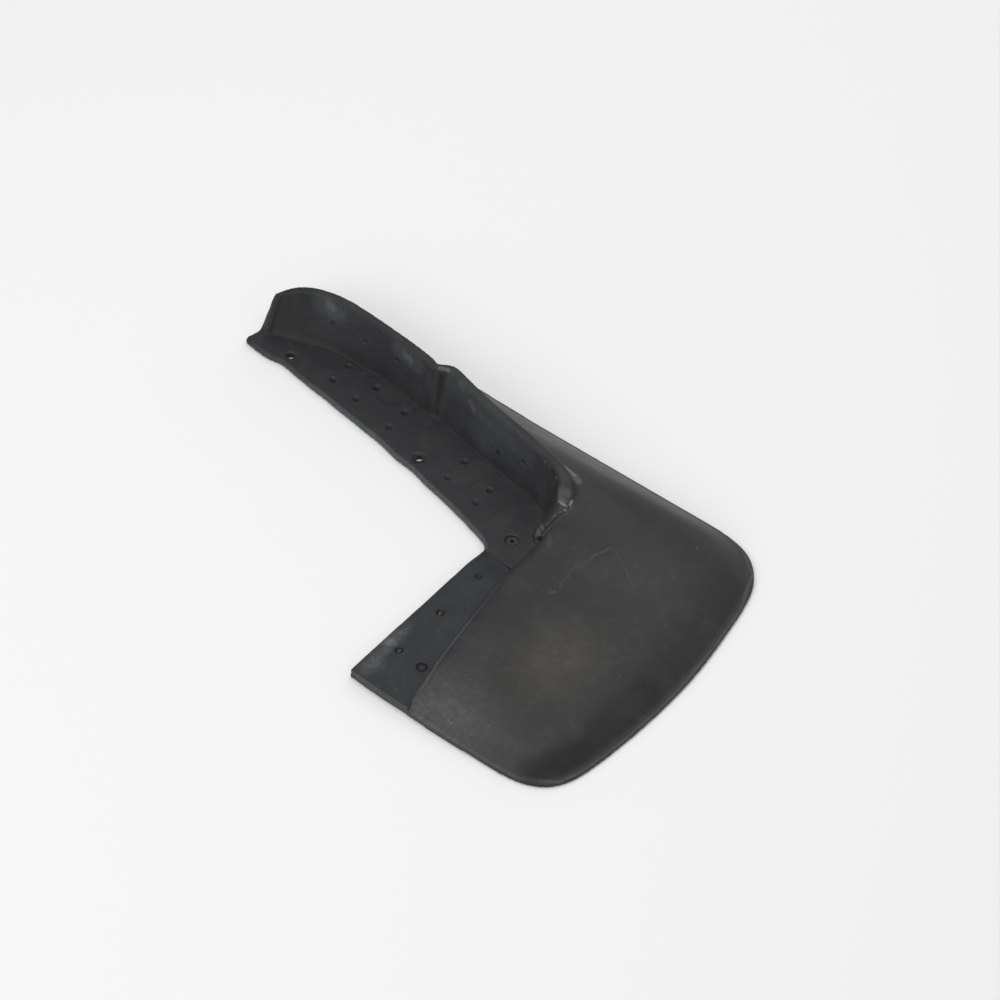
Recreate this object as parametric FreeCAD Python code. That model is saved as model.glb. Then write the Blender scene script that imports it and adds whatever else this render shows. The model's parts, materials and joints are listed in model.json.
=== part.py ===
import FreeCAD, Part
import math
import os

# Moulded wheel-arch mud flap for the right-hand rear of a pickup, in millimetres.
# The part lies on its mounting side with the flange underside at z = 0. +Z is the rearward
# show side, +X is outboard and +Y runs up the wheel arch.
# The origin is the axis of the corner mounting hole at z = 0.

os.makedirs("parts", exist_ok=True)
Vector = FreeCAD.Vector

# ---- driving dimensions ----------------------------------------------------------------
PLATE_T = 5.0             # arm flange thickness
LEG_TOP = 8.2             # top of the inboard leg, strip and leg plate stacked
STRIP_T = 3.0             # steel backing strip
STRIP_GAP = 0.2           # paint and bond line over the strip
LEG_BOTTOM = STRIP_T + STRIP_GAP
SKIN_T = 4.5              # rubber skin thickness of the pillow
SPLIT_Y = -92.0           # flex line of the blade
SPLIT_GAP = 0.3           # open slit under the flex line
DIMPLE_DEPTH = 1.1        # blind moulding dimples
OVERSHOOT = 1.0           # how far a cutter passes the face it breaks through
CUT_BELOW = -OVERSHOOT    # bottom of the through cutters
CUT_ABOVE = 20.0          # top of the leg, strip and bush cutters
PRISM_TOP = 60.0          # above the highest point of the moulding

# mounting hole bushes: x, y, bore radius, outer radius, height
BUSHES = {
    "upper_hole_bush": (44.0, 263.0, 2.9, 3.6, 4.2),
    "middle_hole_bush": (22.0, 111.0, 3.1, 4.0, 4.2),
    "corner_hole_bush": (0.0, 0.0, 1.6, 5.0, 3.4),
}

# ---- outlines of the pillow ------------------------------------------------------------
# outline at the floor plane, clockwise from the upper outboard end: x, y
OUTBOARD_EDGE = [(112.0, 131.0), (111.0, 98.0), (110.2, 60.0), (110.0, 0.0)]
LOWER_EDGE = [
    (110.0, -60.0), (110.0, -108.0), (109.0, -128.0), (105.2, -145.0), (98.8, -156.5),
    (89.2, -166.0), (76.0, -173.8), (55.0, -179.7), (33.0, -183.3), (14.0, -186.1),
    (-4.4, -188.3), (-21.0, -189.6), (-37.0, -190.2), (-52.0, -190.1), (-66.0, -189.7),
    (-80.0, -188.9), (-93.3, -188.0), (-106.0, -186.6), (-119.0, -185.2), (-131.0, -183.4),
    (-143.0, -181.2), (-154.0, -177.8), (-162.8, -173.2), (-170.0, -166.8), (-175.4, -158.3),
    (-178.9, -148.5), (-180.9, -136.0), (-181.6, -120.0)]
INBOARD_EDGE = [(-182.0, -90.0), (-182.0, -66.0), (-181.5, -44.0)]
OUTER = OUTBOARD_EDGE + LOWER_EDGE + INBOARD_EDGE

# outer edge of the arch wall's rim and round the pocket end: x, y, height
WALL_RIM = [
    (88.0, 131.0, 45.0), (86.0, 119.5, 45.0), (82.8, 108.2, 45.0), (79.2, 95.2, 45.0),
    (73.8, 70.8, 45.0), (70.1, 47.9, 45.0), (64.8, 23.9, 45.0), (60.5, 6.0, 45.0),
    (55.8, -11.0, 44.0), (50.0, -20.0, 42.0), (44.0, -24.5, 37.5), (35.0, -25.3, 28.5),
    (25.0, -20.8, 19.5), (18.0, -18.8, 14.5), (12.5, -19.5, 10.6)]
# crease between pillow and leg, running inboard: x, y, height
CREASE = [
    (-26.0, -20.5, 10.6), (-42.0, -21.0, 10.6), (-84.0, -26.5, 10.6), (-132.0, -33.0, 10.6),
    (-142.0, -35.5, 10.6), (-180.0, -43.5, 10.2)]
RIMLINE = WALL_RIM + CREASE

# inner boundary of the pillow shell, buried in the arch wall: x, y
WALL_EDGE = [
    (85.2, 131.0), (83.2, 119.5), (80.0, 108.0), (76.4, 94.8), (71.0, 70.4), (67.3, 47.5),
    (62.1, 23.5), (57.8, 6.6), (53.4, -9.8), (48.2, -17.6), (43.0, -21.6), (35.2, -22.4),
    (26.0, -18.0), (18.5, -16.0), (12.5, -19.5)]

# plan of the hollow under the pillow: x, y
HOLLOW = [
    (105.0, 127.0), (104.4, 60.0), (104.2, 0.0), (104.2, -60.0), (104.2, -106.0),
    (103.0, -126.0), (99.4, -141.0), (93.4, -151.5), (84.5, -160.0), (73.0, -167.0),
    (53.0, -173.2), (32.0, -176.8), (13.0, -179.6), (-5.0, -181.8), (-21.0, -183.1),
    (-37.0, -183.7), (-52.0, -183.6), (-66.0, -183.2), (-80.0, -182.5), (-93.0, -181.6),
    (-105.5, -180.2), (-118.0, -178.9), (-130.0, -177.1), (-141.5, -175.0), (-151.5, -171.8),
    (-159.0, -167.8), (-165.0, -162.4), (-169.8, -155.0), (-172.9, -146.5), (-174.8, -135.0),
    (-175.5, -119.0), (-175.9, -90.0), (-175.9, -66.0), (-175.6, -50.5), (-141.0, -41.5),
    (-131.0, -39.0), (-83.0, -32.5), (-42.0, -27.0), (-28.0, -26.5), (10.0, -26.0),
    (22.0, -24.0), (30.0, -16.0), (42.0, -10.0), (47.0, 6.0), (54.0, 60.0), (66.0, 127.0)]

# general pillow surface: one row of heights for every GRID_Y, one column for every GRID_X
GRID_X = [-182.0, -150.0, -120.0, -90.0, -60.0, -30.0, 0.0, 20.0, 40.0, 60.0, 80.0, 95.0, 110.0]
GRID_Y = [-200.0, -170.0, -145.0, -115.0, -85.0, -55.0, -25.0, 20.0, 60.0, 135.0]
GRID_Z = [
    [11.0, 13.0, 14.0, 14.5, 15.0, 15.5, 15.5, 16.0, 16.0, 16.0, 15.5, 14.5, 14.0],
    [11.5, 13.8, 15.0, 15.5, 16.0, 16.5, 16.5, 17.0, 17.0, 17.0, 16.5, 15.5, 15.0],
    [12.4, 14.8, 16.0, 16.8, 17.3, 17.8, 18.5, 19.0, 19.6, 20.0, 19.6, 18.6, 18.0],
    [12.6, 15.0, 16.2, 17.0, 17.6, 18.4, 19.8, 21.6, 23.6, 25.0, 24.8, 23.4, 22.0],
    [12.4, 14.4, 15.4, 16.0, 16.6, 17.4, 19.2, 22.4, 26.5, 29.8, 30.5, 29.0, 27.0],
    [11.8, 13.2, 13.9, 14.3, 14.6, 15.2, 17.0, 21.2, 28.5, 35.0, 36.8, 35.6, 33.0],
    [11.2, 11.9, 12.3, 12.5, 12.7, 13.0, 13.9, 18.6, 31.0, 40.0, 42.0, 41.0, 39.0],
    [11.2, 11.6, 11.9, 12.0, 12.2, 12.4, 14.0, 22.0, 38.0, 43.6, 44.0, 43.5, 42.0],
    [11.2, 11.6, 11.9, 12.0, 12.2, 12.4, 14.0, 22.0, 38.0, 43.6, 44.5, 44.0, 43.0],
    [11.2, 11.6, 11.9, 12.0, 12.2, 12.4, 14.0, 22.0, 38.0, 43.6, 44.5, 44.5, 43.0]]


# ---- shape helpers ---------------------------------------------------------------------
def plan_points(points):
    return [(p[0], p[1]) for p in points]


def straights(points):
    """Split a polyline into two-point runs."""
    return [[a, b] for a, b in zip(points, points[1:])]


def prism(points, z0, z1):
    vectors = [Vector(x, y, z0) for x, y in points]
    face = Part.Face(Part.makePolygon(vectors + [vectors[0]]))
    return face.extrude(Vector(0, 0, z1 - z0))


def edged_prism(runs, z0, z1):
    """Prism bounded by runs of points; a run of more than two is a smooth spline edge."""
    edges = []
    for run in runs:
        vectors = [Vector(x, y, z0) for x, y in run]
        if len(run) == 2:
            edges.append(Part.makeLine(*vectors))
        else:
            curve = Part.BSplineCurve()
            curve.interpolate(vectors)
            edges.append(curve.toShape())
    return Part.Face(Part.Wire(edges)).extrude(Vector(0, 0, z1 - z0))


def cylinder(x, y, radius, z0, z1):
    return Part.makeCylinder(radius, z1 - z0, Vector(x, y, z0), Vector(0, 0, 1))


def cutter(x, y, radius, z0=CUT_BELOW):
    return cylinder(x, y, radius, z0, CUT_ABOVE)


def largest_solid(shape):
    return max(shape.Solids, key=lambda solid: solid.Volume)


# ---- height of the pillow surface ------------------------------------------------------
LIP_W = 5.6               # flat lip along the lower edge
INBOARD_LIP_W = 1.4
OUTBOARD_LIP_W = 1.6
LIP_T = 3.0               # lip thickness
INBOARD_LIP_RISE = 3.6    # extra lip thickness up the inboard side
LOWER_RUN = 50.0          # run of the rounded lower side
INBOARD_RUN = 27.0        # run of the rounded inboard side
OUTBOARD_RUN = 5.0        # run of the steep outboard side, plus a share of its height
OUTBOARD_RUN_SHARE = 0.74
LOWER_POWER = 2.3         # fullness of the lower roll
INBOARD_POWER = 2.6       # fullness of the inboard roll
OUTBOARD_SOFTNESS = 0.42  # rounding at the top of the outboard side
OUTBOARD_REACH = 1.6      # where the outboard profile ends, in runs
RIM_DROP = 0.4            # pillow meets the rim line this far below its height
RIM_BLEND = 7.0           # width of the blend into a low rim
RIM_BLEND_EXTRA = 25.0    # added width where the rim is high
THICK_EDGE = 2.5          # extra skin towards the outer edge
SLOPE_STEP = 1.0          # step for measuring the surface slope
MAX_SLOPE_SQUARED = 9.0   # limit on the slope used for thickening


def segment_distance(x, y, start, end):
    """Distance to a segment, position 0..1 along it, and side (positive is to its right)."""
    dx, dy = end[0] - start[0], end[1] - start[1]
    off_x, off_y = x - start[0], y - start[1]
    t = (off_x * dx + off_y * dy) / (dx * dx + dy * dy)
    t = min(1.0, max(0.0, t))
    distance = math.hypot(x - (start[0] + t * dx), y - (start[1] + t * dy))
    return distance, t, off_x * dy - off_y * dx


def outer_inset(x, y):
    """Distance inside the outer outline, negative outside."""
    best, best_side = 1e9, 0.0
    for start, end in zip(OUTER, OUTER[1:]):
        distance, _, side = segment_distance(x, y, start, end)
        if distance < best - 1e-9:
            best, best_side = distance, side
    return best if best_side > 0 else -best


def nearest_rim(x, y):
    """Distance to the rim line and its height there."""
    best, height = 1e9, 0.0
    for start, end in zip(RIMLINE, RIMLINE[1:]):
        distance, t, _ = segment_distance(x, y, start, end)
        if distance < best:
            best, height = distance, start[2] + t * (end[2] - start[2])
    return best, height


def hermite(xs, ys, x):
    """Smooth curve through the points (xs, ys), held level beyond both ends."""
    if x <= xs[0]:
        return ys[0]
    if x >= xs[-1]:
        return ys[-1]
    i = 0
    while x > xs[i + 1]:
        i += 1
    width = xs[i + 1] - xs[i]

    def slope(k):
        before, after = max(k - 1, 0), min(k + 1, len(xs) - 1)
        return (ys[after] - ys[before]) / (xs[after] - xs[before])

    t = (x - xs[i]) / width
    t2, t3 = t * t, t * t * t
    return ((2 * t3 - 3 * t2 + 1) * ys[i] + (t3 - 2 * t2 + t) * width * slope(i)
            + (-2 * t3 + 3 * t2) * ys[i + 1] + (t3 - t2) * width * slope(i + 1))


def smooth01(t):
    t = min(1.0, max(0.0, t))
    return t * t * (3 - 2 * t)


def ramp(value, start, span):
    """Smooth rise from 0 at start to 1 at start + span."""
    return smooth01((value - start) / span)


def mix(a, b, share):
    return a + (b - a) * share


def soft_corner(t):
    """Rises with t, then levels off at 1 round a soft corner."""
    return (1.0 + t - math.sqrt((1.0 - t) ** 2 + OUTBOARD_SOFTNESS ** 2)) / 2


def pillow(x, y):
    """Height of the top surface, and how far up the edge roll it is (0 at lip, 1 on top)."""
    z = hermite(GRID_Y, [hermite(GRID_X, row, x) for row in GRID_Z], y)
    distance, rim_z = nearest_rim(x, y)
    blend = RIM_BLEND + RIM_BLEND_EXTRA * ramp(rim_z, 11.0, 22.0)
    z += (rim_z - RIM_DROP - z) * smooth01(1.0 - distance / blend)

    # shares of the outboard and inboard side shapes; the rest is the lower edge
    outboard = ramp(y, -168.0, 60.0) * ramp(x, 20.0, 60.0)
    inboard = ramp(-x, 118.0, 45.0) * ramp(y, -184.0, 36.0)
    lip_w = mix(mix(LIP_W, INBOARD_LIP_W, inboard), OUTBOARD_LIP_W, outboard)
    lip_t = LIP_T + INBOARD_LIP_RISE * inboard * ramp(y, -135.0, 85.0)
    outboard_run = OUTBOARD_RUN + (z - LIP_T) * OUTBOARD_RUN_SHARE
    run = mix(mix(LOWER_RUN, INBOARD_RUN, inboard), outboard_run, outboard)

    t = min(OUTBOARD_REACH, max(0.0, (outer_inset(x, y) - lip_w) / run))
    remaining = 1.0 - min(1.0, t)
    lower_roll = 1.0 - remaining ** LOWER_POWER
    inboard_roll = 1.0 - remaining ** INBOARD_POWER
    base = soft_corner(0.0)
    outboard_roll = (soft_corner(t) - base) / (soft_corner(OUTBOARD_REACH) - base)
    outboard_roll = min(1.0, max(0.0, outboard_roll))
    roll = mix(mix(lower_roll, inboard_roll, inboard), outboard_roll, outboard)
    return lip_t + (z - lip_t) * roll, roll


def top_height(x, y):
    return pillow(x, y)[0]


def under_height(x, y):
    """Underside of the skin, lowered on slopes to keep the thickness square to the surface."""
    z, roll = pillow(x, y)
    step = SLOPE_STEP
    slope_x = (top_height(x + step, y) - top_height(x - step, y)) / (2 * step)
    slope_y = (top_height(x, y + step) - top_height(x, y - step)) / (2 * step)
    stretch = math.sqrt(1 + min(MAX_SLOPE_SQUARED, slope_x * slope_x + slope_y * slope_y))
    return z - SKIN_T * stretch - THICK_EDGE * (1 - roll) ** 2


# ---- pillow shell ----------------------------------------------------------------------
SURFACE_X = (-185.5, 115.0)
SURFACE_Y = (-196.0, 136.0)
BLOCK_DEPTH = 70.0        # the blocks reach this far down from their surface

# clearance over the backing strip, cut from the leg-side foot: x, y
STRIP_CLEAR = [
    (-190.0, 14.0), (-29.8, 14.0), (-29.8, -31.2), (-84.0, -38.8), (-142.0, -47.8),
    (-176.3, -54.3), (-176.3, -43.9), (-190.0, -43.9)]


def surface_block(height, count_x, count_y):
    """Solid below a surface interpolated through a grid of sampled heights."""
    (x0, x1), (y0, y1) = SURFACE_X, SURFACE_Y
    rows = []
    for i in range(count_x):
        x = x0 + (x1 - x0) * i / (count_x - 1)
        ys = [y0 + (y1 - y0) * j / (count_y - 1) for j in range(count_y)]
        rows.append([Vector(x, y, height(x, y)) for y in ys])
    surface = Part.BSplineSurface()
    surface.interpolate(rows)
    return surface.toShape().extrude(Vector(0, 0, -BLOCK_DEPTH))


def make_shell(top_block):
    crease = plan_points(CREASE)
    plan = edged_prism(
        straights([WALL_EDGE[0]] + OUTBOARD_EDGE + [LOWER_EDGE[0]])
        + [LOWER_EDGE]
        + straights([LOWER_EDGE[-1]] + INBOARD_EDGE + [crease[-1]])
        + [crease[::-1], [crease[0], WALL_EDGE[-1]], WALL_EDGE[::-1]],
        0.0, PRISM_TOP)
    shell = largest_solid(top_block.common(plan))
    # the hollow leaves a closed foot all round and runs under the arch wall and pocket end
    under_block = surface_block(under_height, 62, 66)
    hollow = largest_solid(under_block.common(prism(HOLLOW, -5.0, PRISM_TOP)))
    shell = largest_solid(shell.cut(hollow))
    return largest_solid(shell.cut(prism(STRIP_CLEAR, CUT_BELOW, LEG_BOTTOM)))


# ---- end web: closes the upper end of the outboard side --------------------------------
WEB_Y = 126.5
WEB_T = 4.4
WEB_PROFILE = [(65.0, 0.0), (79.6, 38.0), (90.0, 38.0), (108.0, 2.0), (108.0, 0.0)]  # x, z


def make_web(top_block):
    points = [Vector(x, WEB_Y, z) for x, z in WEB_PROFILE]
    face = Part.Face(Part.makePolygon(points + [points[0]]))
    return face.extrude(Vector(0, WEB_T, 0)).common(top_block)


# ---- arch wall -------------------------------------------------------------------------
# foot on the flange (x, y at z = PLATE_T), inner top edge (x, y), outer top edge (x, y),
# top height
WALL_STATIONS = [
    (49.5, 301.0, 67.0, 299.0, 70.6, 299.6, 33.2), (56.0, 286.0, 73.2, 288.0, 77.0, 289.6, 39.9),
    (60.0, 274.0, 77.8, 278.5, 82.4, 281.0, 42.7), (63.6, 262.5, 81.8, 267.0, 87.4, 269.0, 44.4),
    (68.0, 249.0, 85.0, 252.0, 90.8, 252.8, 45.4), (71.0, 233.0, 85.9, 235.0, 92.0, 235.8, 45.6),
    (71.6, 211.0, 84.6, 212.4, 91.0, 212.4, 45.6), (71.0, 190.0, 82.5, 190.0, 89.0, 188.9, 45.6),
    (68.6, 172.5, 80.6, 172.7, 87.3, 171.4, 45.6), (66.4, 157.5, 78.9, 158.3, 85.5, 157.2, 45.6),
    (64.6, 144.5, 77.0, 145.5, 83.4, 145.6, 45.6), (63.2, 135.0, 75.7, 137.4, 81.4, 140.0, 45.6),
    (63.2, 130.6, 76.4, 133.6, 82.6, 137.2, 45.6), (64.0, 126.6, 79.4, 129.6, 85.4, 132.6, 45.6),
    (64.2, 122.8, 81.0, 125.6, 87.2, 127.4, 45.6), (62.9, 118.0, 80.2, 119.8, 86.6, 120.6, 45.6),
    (61.3, 110.5, 77.4, 111.5, 84.0, 111.6, 45.6), (59.4, 98.5, 73.8, 99.8, 80.8, 99.4, 45.6),
    (56.4, 84.5, 69.9, 86.0, 77.2, 85.2, 45.6), (53.2, 68.0, 66.0, 69.5, 73.8, 68.9, 45.6),
    (50.3, 51.5, 62.6, 52.0, 70.8, 51.5, 45.6), (47.3, 36.0, 59.8, 36.5, 67.8, 35.8, 45.6),
    (44.3, 20.0, 56.8, 20.5, 64.2, 19.4, 45.6), (40.6, 5.5, 53.4, 6.0, 60.6, 3.6, 45.6),
    (37.4, -1.6, 50.4, -3.6, 57.2, -8.0, 45.0), (33.2, -6.2, 46.4, -10.6, 51.8, -17.4, 42.6),
    (28.0, -8.6, 40.6, -13.8, 44.6, -23.8, 37.4), (23.2, -9.4, 33.6, -14.2, 35.8, -25.0, 29.6),
    (19.2, -9.8, 26.0, -13.0, 26.2, -21.2, 22.0), (15.4, -10.2, 18.6, -12.0, 18.8, -18.8, 16.4),
    (11.4, -10.9, 13.4, -12.2, 13.6, -17.6, 12.4), (7.6, -13.6, 9.0, -14.6, 9.8, -18.4, 9.6)]


def wall_section(station):
    """Closed section, with the inner face carried on down through the flange to z = 0."""
    foot_x, foot_y, in_x, in_y, out_x, out_y, top = station
    carry = PLATE_T / (top - PLATE_T)
    base_x = foot_x - (in_x - foot_x) * carry
    base_y = foot_y - (in_y - foot_y) * carry
    points = [Vector(base_x, base_y, 0.0), Vector(in_x, in_y, top), Vector(out_x, out_y, top),
              Vector(base_x + out_x - in_x, base_y + out_y - in_y, 0.0)]
    return Part.makePolygon(points + [points[0]])


def make_wall():
    return Part.makeLoft([wall_section(station) for station in WALL_STATIONS], True, True)


# ---- arm flange ------------------------------------------------------------------------
# inboard edge downwards, foot of the arm, then outboard edge upwards: x, y
ARM_TIP = (40.0, 304.2)
ARM_INBOARD = [
    (34.7, 295.0), (33.5, 277.6), (34.5, 261.0), (32.5, 248.7), (29.4, 229.7), (27.3, 211.7),
    (24.3, 194.1), (21.9, 176.3), (19.2, 158.8), (16.1, 141.5), (12.4, 125.9), (10.3, 108.8),
    (5.9, 92.1), (2.6, 76.1), (-1.0, 60.1), (-5.3, 43.6), (-9.6, 28.7), (-12.0, 21.3),
    (-14.5, 15.8), (-20.0, 10.4)]
ARM_FOOT = [(-24.0, -21.0), (12.0, -19.6), (26.0, -12.0), (37.0, -4.0)]
ARM_OUTBOARD = [
    (43.0, 8.0), (46.5, 22.0), (50.0, 38.0), (53.0, 54.0), (56.0, 70.0), (59.0, 86.0),
    (62.0, 100.0), (64.0, 112.0), (66.0, 122.0), (66.5, 136.0), (68.0, 146.0), (69.5, 158.0),
    (72.0, 173.0), (74.0, 190.0), (74.6, 211.0), (74.0, 233.0), (71.0, 249.0), (66.5, 263.0),
    (61.0, 277.0), (56.0, 289.0), (51.0, 301.5)]

ARM_DIMPLE_R = 2.3
ARM_DIMPLES = [
    (45.0, 219.0), (40.0, 191.0), (60.0, 186.0), (33.0, 151.0), (53.0, 151.0), (20.0, 80.0),
    (41.0, 80.0), (30.0, 46.0), (13.0, 46.0)]


def make_arm():
    arm = edged_prism(
        straights([ARM_TIP, (36.1, 303.0), ARM_INBOARD[0]])
        + [ARM_INBOARD]
        + straights([ARM_INBOARD[-1]] + ARM_FOOT + [ARM_OUTBOARD[0]])
        + [ARM_OUTBOARD, [ARM_OUTBOARD[-1], ARM_TIP]],
        0.0, PLATE_T)
    for x, y, _, outer_r, _ in BUSHES.values():
        arm = arm.cut(cylinder(x, y, outer_r, CUT_BELOW, PLATE_T + OVERSHOOT))
    for x, y in ARM_DIMPLES:
        arm = arm.cut(cylinder(x, y, ARM_DIMPLE_R, PLATE_T - DIMPLE_DEPTH, PLATE_T + OVERSHOOT))
    return largest_solid(arm)


# ---- rubber moulding, split at the flex line -------------------------------------------
def make_moulding():
    top_block = surface_block(top_height, 70, 72)
    shell = make_shell(top_block)
    frame = largest_solid(make_arm().fuse(make_wall()))
    pillow_part = largest_solid(shell.fuse(make_web(top_block)))
    return largest_solid(pillow_part.fuse(frame))


def split_moulding(moulding):
    upper = Part.makeBox(400, 400, 100, Vector(-200, SPLIT_Y, -5))
    lower = Part.makeBox(400, 200, 100, Vector(-200, SPLIT_Y - SPLIT_GAP - 200, -5))
    return largest_solid(moulding.common(upper)), largest_solid(moulding.common(lower))


# ---- rivet sizes, shared by the leg plate, strip and rivets ----------------------------
RIVETS = [(-93.5, -4.8), (-141.3, -4.0)]
RIVET_SHANK_R = 2.0
RIVET_HEAD_R = 2.7
RIVET_HEAD_RIM = 0.3      # straight rim under the dome
RIVET_DOME_H = 1.3
SINK_R = 3.2              # sink for the head, in the leg plate
RIVET_SEAT = LEG_TOP - 1.6
COUNTERSINK_R = 3.9       # countersink for the tail, under the strip
COUNTERSINK_DEPTH = 1.5
TAIL_CLEARANCE = 0.08     # tail smaller than its countersink
TAIL_Z = 0.05             # tail stops short of the mounting plane

# ---- leg plate -------------------------------------------------------------------------
LEG_CREASE_GAP = 0.2      # leg plate stands off the pillow crease along y
LEG_CORNER = (-178.8, 11.2)
LEG_INBOARD = [(-179.2, 8.6), (-180.2, -6.5), (-181.0, -30.0), (-180.9, -43.4)]
LEG_UPPER = [(-20.4, 10.2), (-100.0, 11.0), (-178.0, 11.9)]
SKIRT_BOTTOM = 0.2
SKIRT_OVERLAP = 0.6       # skirt reaches this far up into the plate
LEG_DIMPLE = (-47.3, -4.8, 3.1)                # x, y, radius
GROOVE_X, GROOVE_Y = -143.5, -27.8             # ring groove in the top face
GROOVE_OUTER_R, GROOVE_INNER_R = 4.2, 3.2
GROOVE_DEPTH = 0.7


def make_leg_plate(moulding):
    crease = [(x, y + LEG_CREASE_GAP) for x, y in plan_points(CREASE[:-1])]
    leg = edged_prism(
        straights([LEG_CORNER] + LEG_INBOARD)
        + [[LEG_INBOARD[-1]] + crease[::-1]]
        + straights([crease[0]] + LEG_UPPER + [LEG_CORNER]),
        LEG_BOTTOM, LEG_TOP)
    # turned-down inboard edge that hides the end of the strip
    skirt = prism([(-177.0, 8.6)] + LEG_INBOARD + [(-177.4, -43.0)],
                  SKIRT_BOTTOM, LEG_BOTTOM + SKIRT_OVERLAP)
    leg = largest_solid(leg.fuse(skirt))
    leg = largest_solid(leg.cut(moulding))
    for x, y in RIVETS:
        leg = leg.cut(cutter(x, y, RIVET_SHANK_R)).cut(cutter(x, y, SINK_R, RIVET_SEAT))
    leg = leg.cut(cutter(*LEG_DIMPLE, LEG_TOP - DIMPLE_DEPTH))
    groove = cutter(GROOVE_X, GROOVE_Y, GROOVE_OUTER_R, LEG_TOP - GROOVE_DEPTH)
    groove = groove.cut(
        cylinder(GROOVE_X, GROOVE_Y, GROOVE_INNER_R, CUT_BELOW, CUT_ABOVE + OVERSHOOT))
    return largest_solid(leg.cut(groove))


# ---- backing strip ---------------------------------------------------------------------
STRIP = [
    (-178.9, 12.3), (-175.5, 12.3), (-174.5, 7.6), (-30.0, 7.6), (-30.0, -31.0),
    (-84.0, -38.5), (-142.0, -47.5), (-176.0, -54.0), (-176.0, 9.6), (-178.9, 9.6)]


def make_strip():
    strip = prism(STRIP, 0.0, STRIP_T)
    for x, y in RIVETS:
        countersink = Part.makeCone(COUNTERSINK_R, RIVET_SHANK_R, COUNTERSINK_DEPTH,
                                    Vector(x, y, 0.0), Vector(0, 0, 1))
        strip = strip.cut(cutter(x, y, RIVET_SHANK_R)).cut(countersink)
    return largest_solid(strip)


# ---- rivets and bushes -----------------------------------------------------------------
def make_rivet(x, y):
    """Domed head in the leg plate's sink, flared tail in the strip's countersink."""
    dome_z = RIVET_SEAT + RIVET_HEAD_RIM
    ball_r = (RIVET_HEAD_R ** 2 + RIVET_DOME_H ** 2) / (2 * RIVET_DOME_H)
    ball = Part.makeSphere(ball_r, Vector(x, y, dome_z + RIVET_DOME_H - ball_r))
    dome = ball.common(cylinder(x, y, RIVET_HEAD_R, dome_z, RIVET_SEAT + 4.0))
    head = cylinder(x, y, RIVET_HEAD_R, RIVET_SEAT, dome_z)
    shank = cylinder(x, y, RIVET_SHANK_R, TAIL_Z, RIVET_SEAT)
    tail = Part.makeCone(COUNTERSINK_R - TAIL_CLEARANCE, RIVET_SHANK_R,
                         COUNTERSINK_DEPTH - TAIL_CLEARANCE,
                         Vector(x, y, TAIL_Z), Vector(0, 0, 1))
    return largest_solid(head.fuse([dome, shank, tail]).removeSplitter())


def make_bush(x, y, bore_r, outer_r, height):
    return largest_solid(cylinder(x, y, outer_r, 0.0, height).cut(cutter(x, y, bore_r)))


# ---- build and export ------------------------------------------------------------------
moulding = make_moulding()
body, blade = split_moulding(moulding)
parts = {
    "flap_body": body,
    "flap_blade": blade,
    "leg_plate": make_leg_plate(moulding),
    "leg_backing_strip": make_strip(),
    "leg_rivets": Part.makeCompound([make_rivet(x, y) for x, y in RIVETS]),
}
for name, sizes in BUSHES.items():
    parts[name] = make_bush(*sizes)

for name, shape in parts.items():
    shape.exportStep("parts/" + name + ".step")
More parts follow.
